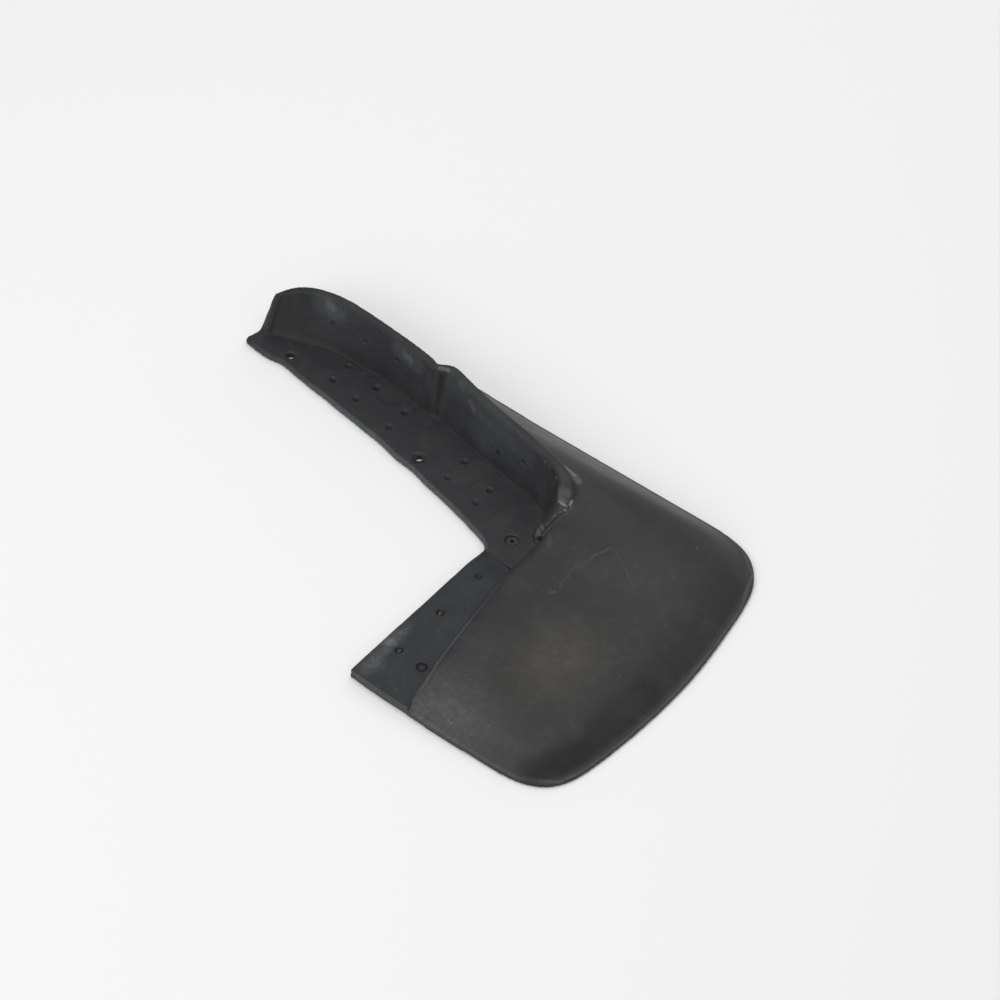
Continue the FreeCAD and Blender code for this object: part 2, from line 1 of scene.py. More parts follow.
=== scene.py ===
"""A black moulded rubber flap with a plastic leg plate, lying flat on a studio floor.

X and Y span the floor and Z is up; the corner hole is at the origin. A hollow pillow-shaped
blade fills the -Y half and the +X side. A flat arm runs from the corner towards +Y, with a
wall leaning towards +X along its edge. The leg plate runs from the corner towards -X.
Shapes are worked out in millimetres and turned into metres when a mesh is made.
"""
import json
import math
import bpy
import bmesh
import numpy as np
from mathutils import Vector
from mathutils.geometry import delaunay_2d_cdt
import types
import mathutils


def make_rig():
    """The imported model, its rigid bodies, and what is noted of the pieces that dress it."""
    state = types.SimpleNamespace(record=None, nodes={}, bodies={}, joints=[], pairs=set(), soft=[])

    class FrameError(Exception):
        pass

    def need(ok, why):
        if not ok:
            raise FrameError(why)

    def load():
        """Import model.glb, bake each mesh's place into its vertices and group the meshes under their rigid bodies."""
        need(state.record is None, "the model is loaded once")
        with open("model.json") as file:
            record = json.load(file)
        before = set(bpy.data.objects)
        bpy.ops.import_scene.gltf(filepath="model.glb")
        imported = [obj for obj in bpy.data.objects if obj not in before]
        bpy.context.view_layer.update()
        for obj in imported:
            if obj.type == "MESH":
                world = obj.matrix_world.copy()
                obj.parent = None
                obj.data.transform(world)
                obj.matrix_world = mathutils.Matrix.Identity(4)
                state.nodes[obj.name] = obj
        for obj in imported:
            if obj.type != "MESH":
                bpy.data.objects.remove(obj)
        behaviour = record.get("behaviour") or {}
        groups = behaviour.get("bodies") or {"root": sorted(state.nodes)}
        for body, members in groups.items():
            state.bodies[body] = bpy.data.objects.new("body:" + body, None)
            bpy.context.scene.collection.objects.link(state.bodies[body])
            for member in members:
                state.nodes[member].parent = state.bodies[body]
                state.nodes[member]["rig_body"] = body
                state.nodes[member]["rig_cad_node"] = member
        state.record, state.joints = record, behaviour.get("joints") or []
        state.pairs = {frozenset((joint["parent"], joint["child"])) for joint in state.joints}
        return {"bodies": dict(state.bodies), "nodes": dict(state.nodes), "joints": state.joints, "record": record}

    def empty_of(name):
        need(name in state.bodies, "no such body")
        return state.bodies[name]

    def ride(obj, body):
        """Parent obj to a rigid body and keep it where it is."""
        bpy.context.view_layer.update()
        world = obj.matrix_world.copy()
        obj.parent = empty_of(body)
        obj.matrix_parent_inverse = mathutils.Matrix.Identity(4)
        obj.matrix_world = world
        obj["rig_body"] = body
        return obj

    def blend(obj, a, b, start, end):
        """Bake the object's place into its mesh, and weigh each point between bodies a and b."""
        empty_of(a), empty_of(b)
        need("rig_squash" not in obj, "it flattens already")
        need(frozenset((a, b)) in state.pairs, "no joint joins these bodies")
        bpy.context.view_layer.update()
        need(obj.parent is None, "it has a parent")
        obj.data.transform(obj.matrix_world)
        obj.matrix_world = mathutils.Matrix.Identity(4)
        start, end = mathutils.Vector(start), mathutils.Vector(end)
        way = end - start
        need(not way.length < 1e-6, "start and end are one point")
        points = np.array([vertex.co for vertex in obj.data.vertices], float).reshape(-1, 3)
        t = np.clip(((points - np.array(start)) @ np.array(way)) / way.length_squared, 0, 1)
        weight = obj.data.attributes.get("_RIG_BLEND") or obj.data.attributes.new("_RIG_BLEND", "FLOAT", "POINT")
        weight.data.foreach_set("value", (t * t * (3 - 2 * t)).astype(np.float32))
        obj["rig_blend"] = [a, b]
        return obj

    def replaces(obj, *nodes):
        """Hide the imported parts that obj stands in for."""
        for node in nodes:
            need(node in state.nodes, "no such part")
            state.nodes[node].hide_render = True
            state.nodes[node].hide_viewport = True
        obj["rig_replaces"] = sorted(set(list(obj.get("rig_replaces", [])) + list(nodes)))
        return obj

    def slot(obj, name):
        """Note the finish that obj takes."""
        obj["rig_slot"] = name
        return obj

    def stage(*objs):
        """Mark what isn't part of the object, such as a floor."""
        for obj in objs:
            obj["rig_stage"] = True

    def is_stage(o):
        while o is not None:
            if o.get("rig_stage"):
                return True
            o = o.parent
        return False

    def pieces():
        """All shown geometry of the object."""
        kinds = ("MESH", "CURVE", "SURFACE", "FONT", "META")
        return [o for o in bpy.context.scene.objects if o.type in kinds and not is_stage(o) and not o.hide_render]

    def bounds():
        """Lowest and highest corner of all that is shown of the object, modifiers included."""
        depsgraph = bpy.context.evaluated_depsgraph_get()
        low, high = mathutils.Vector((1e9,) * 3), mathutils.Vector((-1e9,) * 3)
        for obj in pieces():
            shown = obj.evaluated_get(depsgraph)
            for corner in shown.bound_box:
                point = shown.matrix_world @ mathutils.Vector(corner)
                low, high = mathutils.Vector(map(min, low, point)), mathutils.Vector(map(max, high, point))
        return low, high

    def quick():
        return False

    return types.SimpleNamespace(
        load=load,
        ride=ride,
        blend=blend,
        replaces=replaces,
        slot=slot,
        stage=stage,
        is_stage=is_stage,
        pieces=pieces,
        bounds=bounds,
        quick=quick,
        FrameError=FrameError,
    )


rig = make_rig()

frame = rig.load()
BOUNDS_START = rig.bounds()

# ==================== dimensions, mm ====================
MM_PER_M = 1000.0
PLATE_T = 5.0             # arm flange
LEG_TOP = 8.2             # top of the leg plate
SKIN_T = 4.5              # wall of the hollow pillow
HOLES = [(44, 263, 3.6), (22, 111, 4.0), (0, 0, 5.0)]  # x, y, radius: upper, middle, corner
HOLE_CLEARANCE = 0.03
RIVETS = [(-93.5, -4.8), (-141.3, -4.0)]
RIVET_HOLE_R = 2.02
SKIN_VOXEL = 1.6 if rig.quick() else 0.85
LEG_VOXEL = 0.9 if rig.quick() else 0.5
POLISH_PASSES = 12 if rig.quick() else 36

# Pillow outline x, y: down the +X side, along the -Y edge, up the -X side.
OUTER = [
    (112, 131), (111, 98), (110.2, 60), (110, 0), (110, -60), (110, -108), (109, -128),
    (105.2, -145), (98.8, -156.5), (89.2, -166), (76, -173.8), (55, -179.7), (33, -183.3),
    (14, -186.1), (-4.4, -188.3), (-21, -189.6), (-37, -190.2), (-52, -190.1), (-66, -189.7),
    (-80, -188.9), (-93.3, -188), (-106, -186.6), (-119, -185.2), (-131, -183.4),
    (-143, -181.2), (-154, -177.8), (-162.8, -173.2), (-170, -166.8), (-175.4, -158.3),
    (-178.9, -148.5), (-180.9, -136), (-181.6, -120), (-182, -90), (-182, -66), (-181.5, -44)]
OUTER_CURVE = (4, 32)     # the points of OUTER that are joined by a smooth curve

# Outer edge of the wall's rim, round the corner, then the crease along the leg: x, y, z.
RIM_LINE = [
    (88, 131, 45), (86, 119.5, 45), (82.8, 108.2, 45), (79.2, 95.2, 45), (73.8, 70.8, 45),
    (70.1, 47.9, 45), (64.8, 23.9, 45), (60.5, 6, 45), (55.8, -11, 44), (50, -20, 42),
    (44, -24.5, 37.5), (35, -25.3, 28.5), (25, -20.8, 19.5), (18, -18.8, 14.5),
    (12.5, -19.5, 10.6), (-26, -20.5, 10.6), (-42, -21, 10.6), (-84, -26.5, 10.6),
    (-132, -33, 10.6), (-142, -35.5, 10.6), (-180, -43.5, 10.2)]
RIM_LAST = 14             # last rim point; the crease follows it

# Edge of the pillow under the rim: x, y, from +Y to the corner.
WALL_EDGE = [
    (85.2, 131), (83.2, 119.5), (80, 108), (76.4, 94.8), (71, 70.4), (67.3, 47.5),
    (62.1, 23.5), (57.8, 6.6), (53.4, -9.8), (48.2, -17.6), (43, -21.6), (35.2, -22.4),
    (26, -18), (18.5, -16), (12.5, -19.5)]

# Pillow heights: one row per y, one column per x.
PILLOW_X = [-182, -150, -120, -90, -60, -30, 0, 20, 40, 60, 80, 95, 110]
PILLOW_Y = [-200, -170, -145, -115, -85, -55, -25, 20, 60, 135]
PILLOW_Z = np.array([
    [11.0, 13.0, 14.0, 14.5, 15.0, 15.5, 15.5, 16.0, 16.0, 16.0, 15.5, 14.5, 14.0],
    [11.5, 13.8, 15.0, 15.5, 16.0, 16.5, 16.5, 17.0, 17.0, 17.0, 16.5, 15.5, 15.0],
    [12.4, 14.8, 16.0, 16.8, 17.3, 17.8, 18.5, 19.0, 19.6, 20.0, 19.6, 18.6, 18.0],
    [12.6, 15.0, 16.2, 17.0, 17.6, 18.4, 19.8, 21.6, 23.6, 25.0, 24.8, 23.4, 22.0],
    [12.4, 14.4, 15.4, 16.0, 16.6, 17.4, 19.2, 22.4, 26.5, 29.8, 30.5, 29.0, 27.0],
    [11.8, 13.2, 13.9, 14.3, 14.6, 15.2, 17.0, 21.2, 28.5, 35.0, 36.8, 35.6, 33.0],
    [11.2, 11.9, 12.3, 12.5, 12.7, 13.0, 13.9, 18.6, 31.0, 40.0, 42.0, 41.0, 39.0],
    [11.2, 11.6, 11.9, 12.0, 12.2, 12.4, 14.0, 22.0, 38.0, 43.6, 44.0, 43.5, 42.0],
    [11.2, 11.6, 11.9, 12.0, 12.2, 12.4, 14.0, 22.0, 38.0, 43.6, 44.5, 44.0, 43.0],
    [11.2, 11.6, 11.9, 12.0, 12.2, 12.4, 14.0, 22.0, 38.0, 43.6, 44.5, 44.5, 43.0]])

# Wall stations from +Y to the corner: foot x, y at the flange's top; inner (-X) top edge x, y;
# outer (+X) top edge x, y; top height.
STATIONS = [
    (49.5, 301, 67, 299, 70.6, 299.6, 33.2), (56, 286, 73.2, 288, 77, 289.6, 39.9),
    (60, 274, 77.8, 278.5, 82.4, 281, 42.7), (63.6, 262.5, 81.8, 267, 87.4, 269, 44.4),
    (68, 249, 85, 252, 90.8, 252.8, 45.4), (71, 233, 85.9, 235, 92, 235.8, 45.6),
    (71.6, 211, 84.6, 212.4, 91, 212.4, 45.6), (71, 190, 82.5, 190, 89, 188.9, 45.6),
    (68.6, 172.5, 80.6, 172.7, 87.3, 171.4, 45.6), (66.4, 157.5, 78.9, 158.3, 85.5, 157.2, 45.6),
    (64.6, 144.5, 77, 145.5, 83.4, 145.6, 45.6), (63.2, 135, 75.7, 137.4, 81.4, 140, 45.6),
    (63.2, 130.6, 76.4, 133.6, 82.6, 137.2, 45.6), (64, 126.6, 79.4, 129.6, 85.4, 132.6, 45.6),
    (64.2, 122.8, 81, 125.6, 87.2, 127.4, 45.6), (62.9, 118, 80.2, 119.8, 86.6, 120.6, 45.6),
    (61.3, 110.5, 77.4, 111.5, 84, 111.6, 45.6), (59.4, 98.5, 73.8, 99.8, 80.8, 99.4, 45.6),
    (56.4, 84.5, 69.9, 86, 77.2, 85.2, 45.6), (53.2, 68, 66, 69.5, 73.8, 68.9, 45.6),
    (50.3, 51.5, 62.6, 52, 70.8, 51.5, 45.6), (47.3, 36, 59.8, 36.5, 67.8, 35.8, 45.6),
    (44.3, 20, 56.8, 20.5, 64.2, 19.4, 45.6), (40.6, 5.5, 53.4, 6, 60.6, 3.6, 45.6),
    (37.4, -1.6, 50.4, -3.6, 57.2, -8, 45), (33.2, -6.2, 46.4, -10.6, 51.8, -17.4, 42.6),
    (28, -8.6, 40.6, -13.8, 44.6, -23.8, 37.4), (23.2, -9.4, 33.6, -14.2, 35.8, -25, 29.6),
    (19.2, -9.8, 26, -13, 26.2, -21.2, 22), (15.4, -10.2, 18.6, -12, 18.8, -18.8, 16.4),
    (11.4, -10.9, 13.4, -12.2, 13.6, -17.6, 12.4), (7.6, -13.6, 9, -14.6, 9.8, -18.4, 9.6)]

# Plan of the hollow under the pillow: x, y.
HOLLOW = [
    (105, 127), (104.4, 60), (104.2, 0), (104.2, -60), (104.2, -106), (103, -126),
    (99.4, -141), (93.4, -151.5), (84.5, -160), (73, -167), (53, -173.2), (32, -176.8),
    (13, -179.6), (-5, -181.8), (-21, -183.1), (-37, -183.7), (-52, -183.6), (-66, -183.2),
    (-80, -182.5), (-93, -181.6), (-105.5, -180.2), (-118, -178.9), (-130, -177.1),
    (-141.5, -175), (-151.5, -171.8), (-159, -167.8), (-165, -162.4), (-169.8, -155),
    (-172.9, -146.5), (-174.8, -135), (-175.5, -119), (-175.9, -90), (-175.9, -66),
    (-175.6, -50.5), (-141, -41.5), (-131, -39), (-83, -32.5), (-42, -27), (-28, -26.5),
    (10, -26), (22, -24), (30, -16), (42, -10), (47, 6), (54, 60), (66, 127), (105, 127)]

# Arm outline x, y: its free end, its -X edge, then back under the pillow and wall.
ARM_END = [(40, 304.6), (35.7, 304), (34.9, 301.6)]
ARM_INNER = [
    (34.7, 295), (33.9, 287.7), (33.5, 277.6), (34.9, 266.2), (34.1, 257.1), (32.5, 248.7),
    (31, 239), (29.4, 229.7), (28.3, 220.8), (27.3, 211.7), (25.7, 203), (24.3, 194.1),
    (23.1, 185.1), (21.9, 176.3), (20.4, 167.8), (19.2, 158.8), (18, 150.5), (16.1, 141.5),
    (14.1, 133.5), (12.3, 125.9), (11.3, 116.2), (10.3, 108.8), (8.2, 99.5), (5.9, 92.1),
    (4.3, 84.4), (2.6, 76.1), (0.8, 68), (-1, 60.1), (-3.1, 52.5), (-5.2, 43.6),
    (-7.6, 36.4), (-9.6, 28.7), (-12, 21.3), (-14.5, 15.8), (-20, 10.4)]
ARM_BACK = [
    (-20.9, 11), (-21.4, 3), (-22.6, -6), (-23.2, -14), (-24, -21), (12, -21), (26, -12),
    (37, -4), (43, 8), (46.5, 22), (50, 38), (53, 54), (56, 70), (59, 86), (62, 100),
    (64, 112), (66.5, 122), (66.5, 136), (68, 146), (69.5, 158), (72, 173), (74, 190),
    (74.6, 211), (74, 233), (71, 249), (66.5, 263), (61, 277), (56, 289), (51, 301.5),
    (40, 304.2)]
ARM_EDGE_ROUNDING = 0.6   # the rounded edge takes this much off the outline

# Web closing the pillow's +Y end: x, z, and the two y planes.
WEB_SECTION = [(68, 0), (84, 39), (88, 40), (95, 30), (102, 18), (106, 6), (108, 0)]
WEB_Y = (126.5, 131)
# Small raised block at the corner end of the wall: x, y.
POCKET = [(5.6, -21), (14, -21), (17, -15), (13, -12.4), (8.6, -14.4)]
POCKET_Z = (1.0, 7.6)

# Leg plate outline x, y: its -X end, the crease, the root, the +Y edge.
LEG_END = [(-178.4, 12.2), (-178.9, 11.4), (-179.3, 8.6), (-180.3, -6.5), (-181, -30),
           (-180.9, -45.4)]
LEG_CREASE = [(-180.9, -45.4), (-142, -37.2), (-132, -34.8), (-84, -28.3), (-42, -22.8),
              (-26, -22.3)]
LEG_ROOT = [(-26, -22.3), (-23.4, -14), (-22.1, -6), (-20.5, 3), (-19.4, 10.2)]
LEG_EDGE = [(-19.4, 10.2), (-60, 10.5), (-100, 11), (-140, 11.9), (-178.4, 12.2)]
LEG_SKIRT = [(-177, 8.6), (-179.3, 8.6), (-180.3, -6.5), (-181, -30), (-180.9, -44.6),
             (-178, -44)]
LEG_UNDERSIDE = 3.2
SKIRT_Z = (0.2, 4.5)
LEG_DIMPLE = (-47.3, -4.8)
LEG_RING, LEG_RING_R = (-143.5, -27.8), 3.7

PLATE_DIMPLES = [  # x, y, radius
    (45, 219, 2.4), (40, 191, 2.3), (60, 186, 2.3), (33, 151, 2.4), (53, 151, 2.4),
    (20, 80, 2.3), (41, 80, 2.3), (30, 46, 2.3), (13, 46, 2.4), (64, 219, 1.9)]
WALL_PITS = [  # x, y, z, radius
    (77, 247, 25, 1.7), (77, 213, 25, 1.8), (75, 178.5, 27.5, 1.9), (56, 59.5, 16, 1.8),
    (56, 32, 25, 1.9)]


# ==================== curves and blends ====================
def smooth01(t):
    t = np.clip(t, 0, 1)
    return t * t * (3 - 2 * t)


def blend(a, b, share):
    return a + (b - a) * share


def near_polyline(points, line, values=None):
    """Distance to a polyline, the side (+1 is right of its travel) and the value there."""
    best = np.full(len(points), 1e9)
    side = np.zeros(len(points))
    found = np.zeros(len(points))
    for i in range(len(line) - 1):
        a, b = np.array(line[i][:2]), np.array(line[i + 1][:2])
        step = b - a
        length = math.hypot(*step)
        t = np.clip(((points - a) @ step) / (length * length), 0, 1)
        foot = a + t[:, None] * step
        reach = np.hypot(points[:, 0] - foot[:, 0], points[:, 1] - foot[:, 1])
        cross = (points[:, 0] - a[0]) * step[1] - (points[:, 1] - a[1]) * step[0]
        closer = reach < best - 1e-9
        best[closer] = reach[closer]
        side[closer] = cross[closer]
        if values is not None:
            found[closer] = (values[i] + t * (values[i + 1] - values[i]))[closer]
    return best, np.where(side > 0, 1.0, -1.0), found


def hermite_weights(knots, x):
    """Rows of weights: weights @ values is the cubic interpolation at x."""
    knots = np.array(knots, float)
    n = len(knots)
    slope = np.zeros((n, n))
    for k in range(n):
        low, high = max(k - 1, 0), min(k + 1, n - 1)
        slope[k, low] = -1 / (knots[high] - knots[low])
        slope[k, high] = 1 / (knots[high] - knots[low])
    x = np.clip(x, knots[0], knots[-1])
    i = np.clip(np.searchsorted(knots, x, side="left") - 1, 0, n - 2)
    h = knots[i + 1] - knots[i]
    t = (x - knots[i]) / h
    t2, t3 = t * t, t ** 3
    weights = np.zeros((len(x), n))
    row = np.arange(len(x))
    weights[row, i] += 2 * t3 - 3 * t2 + 1
    weights[row, i + 1] += -2 * t3 + 3 * t2
    weights += ((t3 - 2 * t2 + t) * h)[:, None] * slope[i]
    weights += ((t3 - t2) * h)[:, None] * slope[i + 1]
    return weights


def dense(line, step):
    """A polyline with straight in-between points no further apart than step."""
    out = []
    for a, b in zip(line[:-1], line[1:]):
        n = max(1, int(math.ceil(math.hypot(b[0] - a[0], b[1] - a[1]) / step)))
        for k in range(n):
            out.append(tuple(a[j] + (b[j] - a[j]) * k / n for j in range(len(a))))
    out.append(tuple(line[-1]))
    return out


def catmull(points, step):
    """Catmull-Rom curve through points of any dimension, spaced by plan distance."""
    P = np.array(points, float)
    P = np.vstack([2 * P[0] - P[1], P, 2 * P[-1] - P[-2]])
    out = []
    for i in range(1, len(P) - 2):
        n = max(1, int(math.ceil(np.linalg.norm(P[i + 1][:2] - P[i][:2]) / step)))
        for k in range(n):
            t = k / n
            out.append(0.5 * (2 * P[i] + (P[i + 1] - P[i - 1]) * t
                              + (2 * P[i - 1] - 5 * P[i] + 4 * P[i + 1] - P[i + 2]) * t * t
                              + (3 * P[i] - P[i - 1] - 3 * P[i + 1] + P[i + 2]) * t ** 3))
    out.append(P[-2])
    return np.array(out)


def relaxed(rows, passes):
    """Even out a path, keeping its ends."""
    for _ in range(passes):
        rows[1:-1] = 0.25 * rows[:-2] + 0.5 * rows[1:-1] + 0.25 * rows[2:]
    return rows


def smooth_outline(step):
    first, last = OUTER_CURVE
    return [*OUTER[:first], *catmull(OUTER[first:last], step), *OUTER[last:]]


def inside_poly(points, poly):
    poly = np.array(poly, float)
    x, y = points[:, 0], points[:, 1]
    inside = np.zeros(len(points), bool)
    for (xi, yi), (xj, yj) in zip(poly, np.roll(poly, 1, axis=0)):
        if yi != yj:
            crosses = (yi > y) != (yj > y)
            inside ^= crosses & (x < (xj - xi) * (y - yi) / (yj - yi) + xi)
    return inside


# ==================== mesh helpers ====================
def flat(height):
    return lambda points: np.full(len(points), height)


def slab(poly, grid_step, top, bottom, holes=()):
    """Closed mesh over a plan polygon; top and bottom give heights, holes are x, y, radius."""
    loops = [list(poly)]
    for hx, hy, hr in holes:
        loops.append([(hx + hr * math.cos(a), hy + hr * math.sin(a))
                      for a in np.linspace(0, 2 * math.pi, 48, endpoint=False)])
    rim, edges = [], []
    for loop in loops:
        base = len(rim)
        rim += loop
        edges += [(base + k, base + (k + 1) % len(loop)) for k in range(len(loop))]

    # grid points inside, clear of every boundary
    P = np.array(poly, float)
    xs = np.arange(P[:, 0].min(), P[:, 0].max(), grid_step)
    ys = np.arange(P[:, 1].min(), P[:, 1].max(), grid_step)
    grid = np.array([(x, y) for x in xs for y in ys])
    grid = grid[inside_poly(grid, P)]
    margin = grid_step * 0.45
    grid = grid[near_polyline(grid, [*poly, poly[0]])[0] > margin]
    for hx, hy, hr in holes:
        grid = grid[np.hypot(grid[:, 0] - hx, grid[:, 1] - hy) > hr + margin]

    plan = [Vector(q) for q in rim] + [Vector(q) for q in grid]
    flat_verts, _, flat_faces, *_ = delaunay_2d_cdt(plan, edges, [], 1, 1e-5)
    V = np.array([(v.x, v.y) for v in flat_verts])
    F = np.array([f for f in flat_faces if len(f) == 3])
    centre = V[F].mean(1)
    keep = inside_poly(centre, P)
    for hx, hy, hr in holes:
        keep &= np.hypot(centre[:, 0] - hx, centre[:, 1] - hy) > hr * 0.98
    F = F[keep]

    n = len(V)
    verts = np.vstack([np.c_[V, top(V)], np.c_[V, bottom(V)]])
    faces = [tuple(f) for f in F] + [(f[2] + n, f[1] + n, f[0] + n) for f in F]
    # an edge used in one direction only is a boundary and gets a side face
    directed = dict.fromkeys(e for a, b, c in F for e in ((a, b), (b, c), (c, a)))
    faces += [(b, a, a + n, b + n) for a, b in directed if (b, a) not in directed]
    return verts, faces


def merged_object(name, parts):
    """One object from several closed meshes, with all normals outward."""
    verts, faces, base = [], [], 0
    for part_verts, part_faces in parts:
        verts.append(np.asarray(part_verts, float))
        faces += [tuple(int(q) + base for q in face) for face in part_faces]
        base += len(part_verts)
    mesh = bpy.data.meshes.new(name)
    mesh.from_pydata([tuple(v) for v in np.vstack(verts) / MM_PER_M], [], faces)
    mesh.update()
    obj = bpy.data.objects.new(name, mesh)
    bpy.context.scene.collection.objects.link(obj)
    bm = bmesh.new()
    bm.from_mesh(mesh)
    bmesh.ops.recalc_face_normals(bm, faces=bm.faces)
    bm.to_mesh(mesh)
    bm.free()
    return obj


def apply_modifiers(obj):
    graph = bpy.context.evaluated_depsgraph_get()
    mesh = bpy.data.meshes.new_from_object(obj.evaluated_get(graph))
    obj.modifiers.clear()
    obj.data = mesh


def fuse(obj, voxel):
    """Remesh overlapping parts into one skin and soften it."""
    remesh = obj.modifiers.new("remesh", "REMESH")
    remesh.mode = "VOXEL"
    remesh.voxel_size = voxel / MM_PER_M
    remesh.adaptivity = 0.0
    apply_modifiers(obj)
    soften = obj.modifiers.new("smooth", "SMOOTH")
    soften.factor = 0.5
    soften.iterations = 3
    apply_modifiers(obj)


def vertex_values(obj, field):
    values = np.zeros(len(obj.data.vertices) * 3)
    obj.data.vertices.foreach_get(field, values)
    return values.reshape(-1, 3)


def coords(obj):
    return vertex_values(obj, "co") * MM_PER_M


def set_coords(obj, co):
    obj.data.vertices.foreach_set("co", (co / MM_PER_M).astype(np.float32).ravel())
    obj.data.update()


def laplace(obj, weight, passes):
    """Even out a mesh where weight is above zero."""
    mesh = obj.data
    edges = np.zeros(len(mesh.edges) * 2, np.int64)
    mesh.edges.foreach_get("vertices", edges)
    edges = edges.reshape(-1, 2)
    co = coords(obj)
    n = len(co)
    edges = edges[(weight[edges[:, 0]] > 0) | (weight[edges[:, 1]] > 0)]
    a, b = edges[:, 0], edges[:, 1]
    degree = np.maximum(1, np.bincount(edges.ravel(), minlength=n))
    for _ in range(passes):
        total = np.stack([np.bincount(a, co[b, k], n) + np.bincount(b, co[a, k], n)
                          for k in range(3)], 1)
        co = co + (total / degree[:, None] - co) * (weight * 0.6)[:, None]
    set_coords(obj, co)


# ==================== pillow ====================
RIM_PATH = relaxed(catmull(RIM_LINE, 1.5), 16)
OUTLINE_PATH = smooth_outline(2.5)


def pillow(points):
    """Pillow height, rise from its lip (0 to 1), distance to the rim, inset from the outline."""
    x, y = points[:, 0], points[:, 1]
    z = np.einsum("ij,jk,ik->i", hermite_weights(PILLOW_Y, y), PILLOW_Z,
                  hermite_weights(PILLOW_X, x))
    # pull up to just under the rim, over a band that widens with the rim's height
    rim_distance, _, rim_z = near_polyline(points, RIM_PATH, RIM_PATH[:, 2])
    band = 7.0 + 25.0 * smooth01((rim_z - 11.0) / 22.0)
    z = z + (rim_z - 0.4 - z) * smooth01(1 - rim_distance / band)
    inset, side, _ = near_polyline(points, OUTLINE_PATH)
    inset = inset * side
    on_right = smooth01((y + 168) / 60) * smooth01((x - 20) / 60)     # +X side
    on_left = smooth01((-x - 118) / 45) * smooth01((y + 184) / 36)    # -X side
    # -Y edge: wide flat lip and long roll; -X: narrow lip and round fillet; +X: steep side
    lip = blend(blend(5.6, 1.4, on_left), 1.6, on_right)
    lip_z = 3.0 + 3.6 * on_left * smooth01((y + 135) / 85)
    run = blend(blend(50.0, 27.0, on_left), 5.0 + (z - 3.0) * 0.74, on_right)
    t_end = 1.6
    t = np.clip((inset - lip) / run, 0, t_end)
    left = 1 - np.clip(t, 0, 1)
    long_roll = 1 - left ** 2.3
    fillet = 1 - left ** 2.6
    # a straight climb rounded off at the top, scaled to run from 0 to 1
    knee = 0.42
    start = (1 - math.sqrt(1 + knee * knee)) / 2
    end = 1.3 - math.sqrt(0.36 + knee * knee) / 2
    steep = (1 + t - np.sqrt((1 - t) ** 2 + knee * knee)) / 2
    steep = np.clip((steep - start) / (end - start), 0, 1)
    rise = blend(blend(long_roll, fillet, on_left), steep, on_right)
    return lip_z + (z - lip_z) * rise, rise, rim_distance, inset


def shell_top(points):
    z, rise, rim_distance, _ = pillow(points)
    # beside the wall the surface drops away from the proud rim in a short steep step
    tall = smooth01((z - 12) / 18)
    step = 1 - np.exp(-np.clip(rim_distance - 0.4, 0, None) / 1.5)
    z = z - tall * 2.3 * step * np.exp(-rim_distance / 45.0)
    # hand-moulded unevenness
    return z + 0.18 * np.sin(points[:, 0] / 23.0 + 1.3) * np.sin(points[:, 1] / 31.0) * rise


def shell_bottom(points):
    e = 1.0  # half the span used to measure the slope
    z, rise, _, _ = pillow(points)
    slope_x = (pillow(points + [e, 0])[0] - pillow(points - [e, 0])[0]) / (2 * e)
    slope_y = (pillow(points + [0, e])[0] - pillow(points - [0, e])[0]) / (2 * e)
    stretch = np.sqrt(1 + np.minimum(9, slope_x * slope_x + slope_y * slope_y))
    under = z - SKIN_T * np.minimum(stretch, 2.2) - 2.5 * (1 - rise) ** 2
    edge_distance, _, _ = near_polyline(points, HOLLOW)
    opening = np.where(inside_poly(points, HOLLOW), smooth01(edge_distance / 1.6), 0.0)
    return np.clip(np.minimum(under, z - 4.0), 0, None) * opening


def pillow_plan():
    step = 1.6
    crease = catmull([q[:2] for q in RIM_LINE[:RIM_LAST:-1]], 2.0)
    return (dense(smooth_outline(2.0) + list(crease), step)[:-1]
            + dense([crease[-1], WALL_EDGE[-1]], step)[:-1]
            + dense(catmull(WALL_EDGE[::-1], 2.0), step))


PILLOW_PLAN = pillow_plan()


# ==================== arm, wall and web ====================
def arm_flange():
    step = 1.5
    edge = [(x - ARM_EDGE_ROUNDING * 0.97, y + ARM_EDGE_ROUNDING * 0.2) for x, y in ARM_INNER]
    poly = (dense(ARM_END, step)[:-1] + [tuple(q) for q in catmull(edge, step)][:-1]
            + dense(ARM_BACK, step)[:-1])
    return slab(poly, 3.0, flat(PLATE_T), flat(0.0),
                holes=[(x, y, r + HOLE_CLEARANCE) for x, y, r in HOLES])


WALL_STEPS = np.concatenate([np.linspace(-0.125, 0.90, 34), [0.93, 0.955]])  # foot 0, top 1
WALL_FILLET, FILLET_FADE = 0.7, 1.2
WALL_BOW = 1.1            # hollow of the inner face
WALL_BEAD = 1.1           # raised bead along the free end
BEAD_Y, BEAD_FADE = 292.5, 1.2


